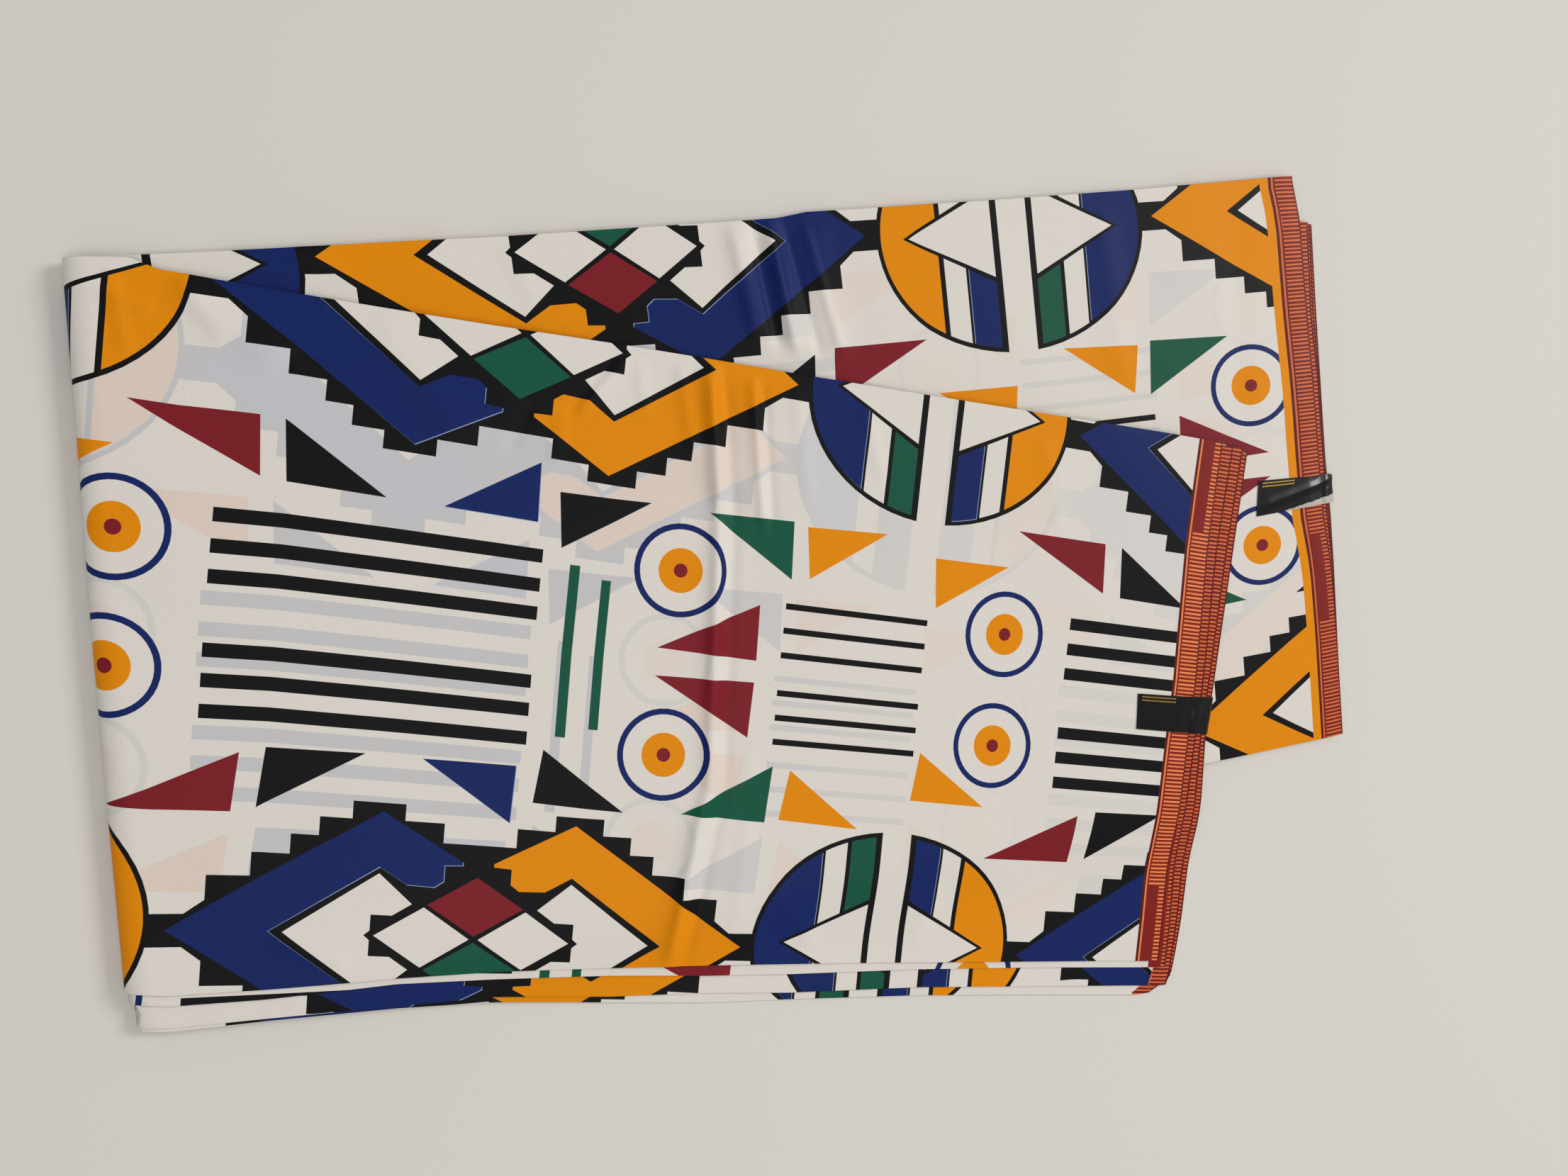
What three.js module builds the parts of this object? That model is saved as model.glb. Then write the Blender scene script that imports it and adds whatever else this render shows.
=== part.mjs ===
// A length of printed cotton cloth, sold as a folded pack. The length is plaited into a strip about
// 300 mm wide, the strip is folded in half at a spine, and the two halves lie fanned on a surface.
// Millimetres, +X along the strip away from the spine, +Y towards the upper long edge, +Z up.
// The underside rests at z = 0. Every wall is a ply of cloth drawn out to at least a millimetre.
import * as THREE from "three";

// ---- sizes -------------------------------------------------------------------------------------
const PLY = 1.0; // thickness of a cloth wall
const GAP = 0.3; // space between neighbouring pieces
const DRAPE_GAP = 0.5; // space under the upper half's top ply, which drapes
const LAYER = 1.3; // height of one bundle of hidden plies
const LAYER_COUNT = 3; // bundles in each half
const STACK = LAYER * LAYER_COUNT; // height of the hidden plies of one half
const HALF = STACK + GAP + PLY; // height of one half with its top ply
const FOLD_ROUND = 0.45; // how far a folded edge bulges at mid height
const SPINE_DEPTH = 11; // how far in from its crown the spine fold starts to turn
const SPINE_HEIGHT = HALF + GAP + STACK + DRAPE_GAP + PLY; // overall height at the spine
const DROOP_START = 15; // overhang past the lower half at which the upper half starts to sink
const DROOP_END = 62; // overhang at which it lies on the surface
const SEAL = 0.5; // thickness of a foil label
const SEAL_GAP = 0.4; // space between a label and the cloth under it

// The spine's crown: a nearly straight line, leaning a little towards the lower end.
const SPINE = [
  { y: -190, x: -303.5 },
  { y: -171, x: -307 },
  { y: -104, x: -311.3 },
  { y: -18, x: -316.5 },
  { y: 63, x: -320.3 },
  { y: 137, x: -324.3 },
];

// Lower half, section by section along X: the folded long edges of its top ply and of its hidden plies.
const LOWER_SECTIONS = [
  { x: -325, ply_top: 136.6, layers_top: 135.6, bottom: -174 },
  { x: -261, ply_top: 144.8, layers_top: 143.6, bottom: -163 },
  { x: -152, ply_top: 159.6, layers_top: 158.2, bottom: -147 },
  { x: -65, ply_top: 172.5, layers_top: 170.6, bottom: -135 },
  { x: -23, ply_top: 178.9, layers_top: 176.6, bottom: -129.4 },
  { x: -8, ply_top: 183.2, layers_top: 179.2, bottom: -127.4 },
  { x: 81, ply_top: 196.4, layers_top: 191.6, bottom: -115.8 },
  { x: 172, ply_top: 210.6, layers_top: 201.5, bottom: -103.8 },
  { x: 249, ply_top: 223.8, layers_top: 204.5, bottom: -93.6 },
  { x: 330, ply_top: 237.6, layers_top: 202.2, bottom: -81.8 },
];

// Lower half, selvedge ends by height in Y: the top ply and the plies that fan out under it.
const LOWER_ENDS = [
  { y: -86, ply: 324.2, second: 324.9, third: 325.6, fourth: 326.2 },
  { y: -22, ply: 315.3, second: 316.4, third: 317.6, fourth: 318.8 },
  { y: 15, ply: 309.2, second: 311.2, third: 312.6, fourth: 314.0 },
  { y: 44, ply: 301.6, second: 305.4, third: 307.6, fourth: 309.8 },
  { y: 76, ply: 296.4, second: 300.6, third: 302.2, fourth: 303.9 },
  { y: 121, ply: 289.4, second: 293.6, third: 295.4, fourth: 297.4 },
  { y: 155, ply: 283.3, second: 286.9, third: 289.6, fourth: 292.4 },
  { y: 204, ply: 275.2, second: 281.2, third: 283.6, fourth: 285.8 },
  { y: 227, ply: 268.1, second: 279.0, third: 281.0, fourth: 283.0 },
];

// Upper half, section by section along X: the upper fold, the lower fold of the top ply, and the folds
// of the plies that step out below it.
const UPPER_SECTIONS = [
  { x: -326, top: 136.4, ply: -171.8, second: -177.4, third: -188.2, fourth: -190.4 },
  { x: -299, top: 138.0, ply: -172.6, second: -177.8, third: -189.0, fourth: -190.9 },
  { x: -288, top: 134.0, ply: -174.0, second: -179.2, third: -189.6, fourth: -191.8 },
  { x: -250, top: 129.6, ply: -175.0, second: -180.0, third: -189.7, fourth: -191.4 },
  { x: -195, top: 123.7, ply: -175.3, second: -178.6, third: -190.3, fourth: -192.0 },
  { x: -152, top: 119.4, ply: -176.8, second: -181.1, third: -190.9, fourth: -194.2 },
  { x: -98, top: 114.6, ply: -181.0, second: -185.4, third: -196.9, fourth: -200.4 },
  { x: -50, top: 109.6, ply: -184.6, second: -190.6, third: -200.0, fourth: -205.4 },
  { x: -7, top: 104.9, ply: -188.1, second: -193.9, third: -204.1, fourth: -208.1 },
  { x: 64, top: 97.8, ply: -193.9, second: -198.1, third: -208.3, fourth: -213.2 },
  { x: 135, top: 90.7, ply: -200.0, second: -203.8, third: -214.8, fourth: -220.0 },
  { x: 192, top: 85.2, ply: -205.1, second: -209.1, third: -220.0, fourth: -225.9 },
  { x: 250, top: 78.6, ply: -210.2, second: -214.0, third: -225.4, fourth: -227.0 },
];

// Upper half, selvedge ends by height in Y. The label draws them in near y = -66.
const UPPER_ENDS = [
  { y: -230, ply: 206.0, second: 211.4, third: 211.0, fourth: 198.5 },
  { y: -218, ply: 206.8, second: 212.4, third: 216.6, fourth: 218.6 },
  { y: -205, ply: 207.5, second: 213.6, third: 218.2, fourth: 221.0 },
  { y: -187, ply: 208.8, second: 214.8, third: 220.2, fourth: 223.7 },
  { y: -130, ply: 212.0, second: 217.0, third: 224.0, fourth: 228.9 },
  { y: -80, ply: 215.8, second: 221.6, third: 226.2, fourth: 229.9 },
  { y: -51, ply: 218.9, second: 224.8, third: 229.6, fourth: 233.5 },
  { y: 22, ply: 222.7, second: 229.2, third: 236.6, fourth: 241.6 },
  { y: 84, ply: 228.9, second: 237.0, third: 244.4, fourth: 248.4 },
];

// Soft creases pressed into the top plies, each a straight ridge that fades out at both ends.
const LOWER_CREASES = [
  { x0: -43, y0: 182, x1: -20, y1: 95, rise: 1.3, width: 9 },
  { x0: -28, y0: 184, x1: -2, y1: 92, rise: 0.9, width: 6 },
  { x0: -6, y0: 186, x1: 14, y1: 108, rise: 0.6, width: 7 },
];
const UPPER_CREASES = [
  { x0: -56, y0: 112, x1: -48, y1: 40, rise: 1.5, width: 9 },
  { x0: -48, y0: 60, x1: -51, y1: -120, rise: 1.1, width: 8 },
  { x0: -51, y0: -95, x1: -72, y1: -188, rise: 1.2, width: 9 },
  { x0: -36, y0: 108, x1: -30, y1: 30, rise: 0.9, width: 6 },
  { x0: -284, y0: 132, x1: -238, y1: 96, rise: 0.9, width: 8 },
  { x0: -206, y0: 122, x1: -160, y1: 66, rise: 0.7, width: 9 },
];

// Labels: the corners of each on the top ply (left end), and the height in Y where it crosses the edge.
const UPPER_SEAL = { left: 182.2, upper: -54.2, lower: -73.4, turn_upper: -58.2, turn_lower: -78.4 };
const LOWER_SEAL = { left: 256.2, upper: 61.2, lower: 41.6, turn_upper: 66.6, turn_lower: 51.0 };

// ---- small maths -------------------------------------------------------------------------------
const lerp = (a, b, t) => a + (b - a) * t;
const clamp01 = (t) => Math.min(1, Math.max(0, t));
const smooth = (t) => clamp01(t) ** 2 * (3 - 2 * clamp01(t));

// A table's column at a place along its key, straight between rows and held level past its ends.
function column(rows, key, name, at) {
  let i = 1;
  while (i < rows.length - 1 && rows[i][key] < at) i++;
  const [a, b] = [rows[i - 1], rows[i]];
  return lerp(a[name], b[name], clamp01((at - a[key]) / (b[key] - a[key])));
}

// How far the upper half's underside is above the surface: level on the lower half, then drooping.
function underUpper(x, y) {
  const overhang = column(LOWER_SECTIONS, "x", "bottom", x) - y;
  return (HALF + GAP) * (1 - smooth((overhang - DROOP_START) / (DROOP_END - DROOP_START)));
}

// Height that a list of creases adds at a point.
function creaseRise(creases, x, y) {
  let rise = 0;
  for (const c of creases) {
    const [dx, dy] = [c.x1 - c.x0, c.y1 - c.y0];
    const length = Math.hypot(dx, dy);
    const along = ((x - c.x0) * dx + (y - c.y0) * dy) / length ** 2;
    const across = ((x - c.x0) * dy - (y - c.y0) * dx) / length;
    const ends = smooth(along * 5) * smooth((1 - along) * 5);
    rise += c.rise * ends * Math.exp(-((across / c.width) ** 2));
  }
  return rise;
}

// ---- closed meshes from grids of points --------------------------------------------------------
// Grid positions round the rim of an across-by-up grid, counter-clockwise seen from above.
function rimOf(across, up) {
  const rim = [];
  for (let i = 0; i < across; i++) rim.push([i, 0]);
  for (let j = 0; j < up; j++) rim.push([across, j]);
  for (let i = across; i > 0; i--) rim.push([i, up]);
  for (let j = up; j > 0; j--) rim.push([0, j]);
  return rim;
}

// A closed mesh: a top grid, rings of points down its side, and a bottom grid.
function closedMesh(across, up, top, rings, bottom) {
  const positions = [];
  const faces = [];
  const grid = (pointAt) => {
    const first = positions.length / 3;
    for (let i = 0; i <= across; i++)
      for (let j = 0; j <= up; j++) positions.push(...pointAt(i, j));
    return (i, j) => first + i * (up + 1) + j;
  };
  const upper = grid(top);
  const lower = grid(bottom);
  for (let i = 0; i < across; i++)
    for (let j = 0; j < up; j++) {
      const [a, b, c, d] = [[i, j], [i + 1, j], [i + 1, j + 1], [i, j + 1]];
      faces.push([upper(...a), upper(...b), upper(...c)], [upper(...a), upper(...c), upper(...d)]);
      faces.push([lower(...a), lower(...c), lower(...b)], [lower(...a), lower(...d), lower(...c)]);
    }
  const rim = rimOf(across, up);
  let above = rim.map(([i, j]) => upper(i, j));
  const stitch = (below) => {
    for (let k = 0; k < rim.length; k++) {
      const next = (k + 1) % rim.length;
      faces.push([above[k], below[k], below[next]], [above[k], below[next], above[next]]);
    }
    above = below;
  };
  for (const ringPoint of rings) {
    const first = positions.length / 3;
    for (const [i, j] of rim) positions.push(...ringPoint(i, j));
    stitch(rim.map((_, k) => first + k));
  }
  stitch(rim.map(([i, j]) => lower(i, j)));
  const geometry = new THREE.BufferGeometry();
  geometry.setAttribute("position", new THREE.Float32BufferAttribute(positions, 3));
  geometry.setIndex(faces.flat());
  geometry.computeVertexNormals();
  return geometry;
}

// A wall between two surfaces given at the same grid places, with a rounded rim.
function wall(across, up, outer, inner, round) {
  const rounded = (i, j) => {
    const middle = (at) => outer(...at).map((v, k) => (v + inner(...at)[k]) / 2);
    const inside = [Math.min(across - 1, Math.max(1, i)), Math.min(up - 1, Math.max(1, j))];
    const [here, back] = [middle([i, j]), middle(inside)];
    const away = here.map((v, k) => v - back[k]);
    const length = Math.hypot(...away) || 1;
    return here.map((v, k) => v + (round * away[k]) / length);
  };
  return closedMesh(across, up, outer, [rounded], inner);
}

// ---- plans of the two halves -------------------------------------------------------------------
// A point of a half's plan at shares u (spine to selvedge) and v (lower to upper fold).
// `edges` gives the four boundaries; the two pairs depend on each other, so they are settled in turn.
function planPoint(edges, u, v) {
  let [x, y] = [0, 0];
  for (let pass = 0; pass < 8; pass++) {
    x = lerp(edges.left(y), edges.right(y), u);
    y = lerp(edges.bottom(x), edges.top(x), v);
  }
  return [x, y];
}

const spineX = (y) => column(SPINE, "y", "x", y);
const pastSpine = (y) => spineX(y) + SPINE_DEPTH + GAP;

function lowerEdges(topName, endName, inset) {
  return {
    left: (y) => pastSpine(y) + 0.3 * inset,
    right: (y) => column(LOWER_ENDS, "y", endName, y) - inset,
    bottom: (x) => column(LOWER_SECTIONS, "x", "bottom", x) + inset,
    top: (x) => column(LOWER_SECTIONS, "x", topName, x) - inset,
  };
}

function upperEdges(name, inset, topInset) {
  return {
    left: (y) => pastSpine(y) + 0.3 * inset,
    right: (y) => column(UPPER_ENDS, "y", name, y) - inset,
    bottom: (x) => column(UPPER_SECTIONS, "x", name, x) + inset,
    top: (x) => column(UPPER_SECTIONS, "x", "top", x) - inset - topInset,
  };
}

// The hidden plies of a half, as one solid whose rim steps from bundle to bundle.
// `bundles` are listed from the top down, each giving its edges at an inset.
function layeredSolid(across, up, bundles, base) {
  const at = (bundle, inset, height) => {
    const edges = bundle(inset);
    return (i, j) => {
      const [x, y] = planPoint(edges, i / across, j / up);
      return [x, y, base(x, y) + height];
    };
  };
  const rings = [];
  bundles.forEach((bundle, k) => {
    const roof = STACK - k * LAYER;
    if (k > 0) rings.push(at(bundle, FOLD_ROUND, roof));
    rings.push(at(bundle, 0, roof - LAYER / 2));
    if (k < bundles.length - 1) rings.push(at(bundle, FOLD_ROUND, roof - LAYER));
  });
  const top = at(bundles[0], FOLD_ROUND, STACK);
  const bottom = at(bundles[bundles.length - 1], FOLD_ROUND, 0);
  return closedMesh(across, up, top, rings, bottom);
}

// ---- the pieces --------------------------------------------------------------------------------
function lowerLayers() {
  const bundles = ["second", "third", "fourth"].map(
    (name, k) => (inset) => lowerEdges("layers_top", name, inset + 0.4 * (k === 1)),
  );
  return layeredSolid(18, 8, bundles, () => 0);
}

function lowerTopPly() {
  const [across, up] = [44, 16];
  const edges = lowerEdges("ply_top", "ply", 0);
  edges.left = (y) => pastSpine(y) + FOLD_ROUND;
  const lift = STACK + GAP;
  const surface = (height) => (i, j) => {
    const [x, y] = planPoint(edges, i / across, j / up);
    return [x, y, lift + height + lowerRise(x, y)];
  };
  return wall(across, up, surface(PLY), surface(0), FOLD_ROUND);
}

// Creases of the lower half, only where the upper half doesn't press on them.
function lowerRise(x, y) {
  const clear = y - column(UPPER_SECTIONS, "x", "top", x);
  return creaseRise(LOWER_CREASES, x, y) * smooth((clear - 12) / 14);
}

function upperLayers() {
  const bundles = ["second", "third", "fourth"].map(
    (name, k) => (inset) => upperEdges(name, inset, [1.2, 0.5, 1.6][k]),
  );
  return layeredSolid(28, 16, bundles, underUpper);
}

// The top ply of the upper half goes round the spine and becomes the bottom ply of the pack.
function upperTopPly() {
  const [turn, along, up] = [8, 40, 20];
  const edges = upperEdges("ply", 0, 0);
  const lift = STACK + DRAPE_GAP;
  const surface = (height) => (i, j) => {
    const v = j / up;
    if (i < turn) return spinePoint(edges, v, (i / turn - 0.5) * Math.PI, PLY - height);
    const [x, y] = planPoint(edges, (i - turn) / along, v);
    return [x, y, underUpper(x, y) + lift + height + creaseRise(UPPER_CREASES, x, y)];
  };
  return wall(turn + along, up, surface(PLY), surface(0), FOLD_ROUND);
}

// A point on the spine's half-ellipse at a share v of its length and an angle from its crown.
function spinePoint(edges, v, angle, depth) {
  const reach = angle < 0 ? SPINE_DEPTH - 2 * GAP : SPINE_DEPTH + GAP;
  let [x, y] = [spineX(0), 0];
  for (let pass = 0; pass < 8; pass++) {
    x = spineX(y) + reach - (reach - depth) * Math.cos(angle);
    y = lerp(edges.bottom(x), edges.top(x), v);
  }
  const centre = SPINE_HEIGHT / 2;
  const level = centre + (centre - depth) * Math.sin(angle);
  return [x, y, level];
}

// The hidden plies inside the spine: a D-shaped roll, stepped down at its lower end.
const SPINE_ROLL = [
  { y: -189.6, share: 0.3 },
  { y: -188.8, share: 0.42 },
  { y: -179.6, share: 0.5 },
  { y: -178.6, share: 0.72 },
  { y: -172.0, share: 0.8 },
  { y: -168.0, share: 1.0 },
  { y: -60, share: 1.0 },
  { y: 40, share: 1.0 },
  { y: 130, share: 1.0 },
  { y: 134.6, share: 0.94 },
  { y: 135.6, share: 0.75 },
];

function spineLayers() {
  const turn = 12;
  const inner = PLY + DRAPE_GAP;
  const rows = SPINE_ROLL.length - 1;
  const section = (i, j) => {
    const { y, share } = SPINE_ROLL[j];
    const angle = (i / turn - 0.5) * Math.PI;
    const reach = (SPINE_DEPTH - inner) * share;
    const rise = (SPINE_HEIGHT / 2 - inner) * share;
    const foot = inner + rise;
    return [spineX(y) + SPINE_DEPTH - 0.1 - reach * Math.cos(angle), y, foot + rise * Math.sin(angle)];
  };
  return loftedRoll(turn, rows, section);
}

// A roll lofted between its sections, closed by a flat back and two flat ends.
function loftedRoll(turn, rows, section) {
  const positions = [];
  const faces = [];
  for (let j = 0; j <= rows; j++)
    for (let i = 0; i <= turn; i++) positions.push(...section(i, j));
  const at = (i, j) => j * (turn + 1) + (i % (turn + 1));
  for (let j = 0; j < rows; j++)
    for (let i = 0; i <= turn; i++) {
      faces.push([at(i, j), at(i + 1, j + 1), at(i, j + 1)], [at(i, j), at(i + 1, j), at(i + 1, j + 1)]);
    }
  for (let i = 1; i < turn; i++) {
    faces.push([at(0, 0), at(i + 1, 0), at(i, 0)]);
    faces.push([at(0, rows), at(i, rows), at(i + 1, rows)]);
  }
  const geometry = new THREE.BufferGeometry();
  geometry.setAttribute("position", new THREE.Float32BufferAttribute(positions, 3));
  geometry.setIndex(faces.flat());
  geometry.computeVertexNormals();
  return geometry;
}

// A foil label: it lies on the top ply, steps down over the fanned plies and ends near their foot.
function seal(size, ends, base, levels) {
  const stations = [
    { x: () => size.left, z: levels.top },
    { x: () => lerp(size.left, ends("ply"), 0.5), z: levels.top },
    { x: () => ends("ply") - 1, z: levels.top },
    { x: () => ends("ply") + 1.2, z: levels.top },
    { x: () => ends("fourth") - 0.6, z: levels.edge },
    { x: () => ends("fourth") + 0.9, z: levels.edge - 1.2 },
    { x: () => ends("fourth") + 1.3, z: levels.foot },
  ];
  const [across, up] = [stations.length - 1, 4];
  const turnAt = 4;
  const path = (i, j) => {
    const share = Math.min(1, i / turnAt);
    const bottom = lerp(size.lower, size.turn_lower, share);
    const top = lerp(size.upper, size.turn_upper, share);
    const y = lerp(bottom, top, j / up);
    const x = stations[i].x(y);
    return [x, y, base(x, y) + stations[i].z];
  };
  const outwards = (i) => {
    const [a, b] = [path(Math.max(0, i - 1), 2), path(Math.min(across, i + 1), 2)];
    const length = Math.hypot(b[0] - a[0], b[2] - a[2]);
    return [-(b[2] - a[2]) / length, 0, (b[0] - a[0]) / length];
  };
  const shifted = (amount) => (i, j) => path(i, j).map((v, k) => v + amount * outwards(i)[k]);
  return wall(across, up, shifted(SEAL), shifted(0), 0.1);
}

function upperSeal() {
  const middle = (UPPER_SEAL.turn_upper + UPPER_SEAL.turn_lower) / 2;
  const ends = (name) => column(UPPER_ENDS, "y", name, middle) + (name === "fourth" ? 1.0 : 0.6);
  const levels = { top: STACK + DRAPE_GAP + PLY + SEAL_GAP, edge: 3.4, foot: 0.5 };
  return seal(UPPER_SEAL, ends, underUpper, levels);
}

function lowerSeal() {
  const ends = (name) => column(LOWER_ENDS, "y", name, LOWER_SEAL.turn_lower) + 0.6;
  const levels = { top: HALF + SEAL_GAP, edge: 3.4, foot: 0.5 };
  return seal(LOWER_SEAL, ends, () => 0, levels);
}

// ---- assembly ----------------------------------------------------------------------------------
const part = new THREE.Group();
part.name = "folded_printed_cloth";

function add(name, geometry, colour, roughness) {
  const material = new THREE.MeshStandardMaterial({ color: colour, roughness });
  material.name = name;
  const mesh = new THREE.Mesh(geometry, material);
  mesh.name = name;
  part.add(mesh);
}

add("lower_layers", lowerLayers(), 0xb8b2a6, 0.85);
add("lower_top_ply", lowerTopPly(), 0xd8d4cc, 0.7);
add("spine_layers", spineLayers(), 0xb8b2a6, 0.85);
add("upper_layers", upperLayers(), 0xc4beb2, 0.85);
add("upper_top_ply", upperTopPly(), 0xe2ded6, 0.7);
add("lower_seal", lowerSeal(), 0x16161a, 0.25);
add("upper_seal", upperSeal(), 0x16161a, 0.25);

// The origin goes to the middle of the pack's outline, on the surface that it rests on.
const outline = new THREE.Box3().setFromObject(part);
const middle = outline.getCenter(new THREE.Vector3());
for (const mesh of part.children) mesh.geometry.translate(-middle.x, -middle.y, 0);

export default part;
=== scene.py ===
"""Looks for a folded length of printed cotton cloth: two fanned halves, foil labels, studio light."""

import math
from types import SimpleNamespace

import bpy
import numpy as np
from mathutils import Matrix, Vector
from mathutils.geometry import delaunay_2d_cdt


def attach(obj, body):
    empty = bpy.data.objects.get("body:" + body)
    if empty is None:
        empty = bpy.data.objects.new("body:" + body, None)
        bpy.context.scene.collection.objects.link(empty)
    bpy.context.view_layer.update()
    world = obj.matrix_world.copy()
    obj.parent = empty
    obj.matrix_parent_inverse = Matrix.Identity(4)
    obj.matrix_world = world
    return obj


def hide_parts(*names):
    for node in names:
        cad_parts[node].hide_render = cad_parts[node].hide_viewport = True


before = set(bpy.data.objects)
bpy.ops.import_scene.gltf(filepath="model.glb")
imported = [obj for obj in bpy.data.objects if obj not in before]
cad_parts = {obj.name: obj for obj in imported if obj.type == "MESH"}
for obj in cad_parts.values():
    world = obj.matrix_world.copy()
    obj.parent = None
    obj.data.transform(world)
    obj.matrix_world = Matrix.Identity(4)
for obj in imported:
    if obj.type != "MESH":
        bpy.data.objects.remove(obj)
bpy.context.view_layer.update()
MM = 0.001

# ---- sizes of the CAD solids, in millimetres ----
PLY = 1.0  # a top ply
GAP = 0.3  # between solids that lie on each other
DRAPE_GAP = 0.5  # under the upper half's top ply
LAYER = 1.3  # each of the three bundles of hidden plies in a half
STACK = 3 * LAYER
HALF = STACK + GAP + PLY
UPPER_TOP = STACK + DRAPE_GAP + PLY
SPINE_DEPTH = 11
SPINE_HEIGHT = HALF + GAP + UPPER_TOP
DROOP_START = 15  # overhang past the lower half where the upper half starts to droop
DROOP_END = 62  # overhang where it has come down to the table
SHIFT = (-0.76, -0.68)  # from the tables' origin to the middle of the pack


def table(names, *rows):
    """A table with named columns, as one array a column."""
    return {name: np.array(column, dtype=float) for name, column in zip(names.split(), zip(*rows))}


# The plan of the pack: long edges at places along x, the spine and the free ends at places along y.
SPINE = table(
    "y x", (-190, -303.5), (-171, -307), (-104, -311.3), (-18, -316.5), (63, -320.3), (137, -324.3)
)
LOWER_SECTIONS = table(
    "x ply_top layers_top bottom",
    (-325, 136.6, 135.6, -174),
    (-261, 144.8, 143.6, -163),
    (-152, 159.6, 158.2, -147),
    (-65, 172.5, 170.6, -135),
    (-23, 178.9, 176.6, -129.4),
    (-8, 183.2, 179.2, -127.4),
    (81, 196.4, 191.6, -115.8),
    (172, 210.6, 201.5, -103.8),
    (249, 223.8, 204.5, -93.6),
    (330, 237.6, 202.2, -81.8),
)
LOWER_ENDS = table(
    "y ply second third fourth",
    (-86, 324.2, 324.9, 325.6, 326.2),
    (-22, 315.3, 316.4, 317.6, 318.8),
    (15, 309.2, 311.2, 312.6, 314.0),
    (44, 301.6, 305.4, 307.6, 309.8),
    (76, 296.4, 300.6, 302.2, 303.9),
    (121, 289.4, 293.6, 295.4, 297.4),
    (155, 283.3, 286.9, 289.6, 292.4),
    (204, 275.2, 281.2, 283.6, 285.8),
    (227, 268.1, 279.0, 281.0, 283.0),
)
UPPER_SECTIONS = table(
    "x top ply second third fourth",
    (-326, 136.4, -171.8, -177.4, -188.2, -190.4),
    (-299, 138.0, -172.6, -177.8, -189.0, -190.9),
    (-288, 134.0, -174.0, -179.2, -189.6, -191.8),
    (-250, 129.6, -175.0, -180.0, -189.7, -191.4),
    (-195, 123.7, -175.3, -178.6, -190.3, -192.0),
    (-152, 119.4, -176.8, -181.1, -190.9, -194.2),
    (-98, 114.6, -181.0, -185.4, -196.9, -200.4),
    (-50, 109.6, -184.6, -190.6, -200.0, -205.4),
    (-7, 104.9, -188.1, -193.9, -204.1, -208.1),
    (64, 97.8, -193.9, -198.1, -208.3, -213.2),
    (135, 90.7, -200.0, -203.8, -214.8, -220.0),
    (192, 85.2, -205.1, -209.1, -220.0, -225.9),
    (250, 78.6, -210.2, -214.0, -225.4, -227.0),
)
UPPER_ENDS = table(
    "y ply second third fourth",
    (-230, 206.0, 211.4, 211.0, 198.5),
    (-218, 206.8, 212.4, 216.6, 218.6),
    (-205, 207.5, 213.6, 218.2, 221.0),
    (-187, 208.8, 214.8, 220.2, 223.7),
    (-130, 212.0, 217.0, 224.0, 228.9),
    (-80, 215.8, 221.6, 226.2, 229.9),
    (-51, 218.9, 224.8, 229.6, 233.5),
    (22, 222.7, 229.2, 236.6, 241.6),
    (84, 228.9, 237.0, 244.4, 248.4),
)
# Creases pressed into the top plies: ridges where rise is above 0, troughs where it is below.
LOWER_CREASES = table(
    "x0 y0 x1 y1 rise width",
    (-43, 182, -20, 95, 1.3, 9),
    (-28, 184, -2, 92, 0.9, 6),
    (-6, 186, 14, 108, 0.6, 7),
    (-150, 160, -128, 118, 0.35, 5),
    (150, 208, 172, 96, 0.4, 8),
    (230, 214, 246, 60, -0.35, 9),
    (-37, 183, -14, 92, -1.2, 3.4),
    (-21, 184, 6, 100, -0.8, 3.2),
    (-29, 182, -6, 92, 1.5, 3.2),
    (-47, 180, -26, 96, 0.8, 3.4),
    (-12, 184, 14, 110, 0.7, 3.0),
    (-312, 142, -268, 131, 0.7, 3.6),
    (-286, 146, -262, 128, -0.6, 3.2),
    (-262, 146, -236, 130, 0.6, 3.4),
    (-240, 150, -196, 126, 0.5, 4.2),
    (-296, 146, -284, 128, 0.5, 3.0),
)
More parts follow.
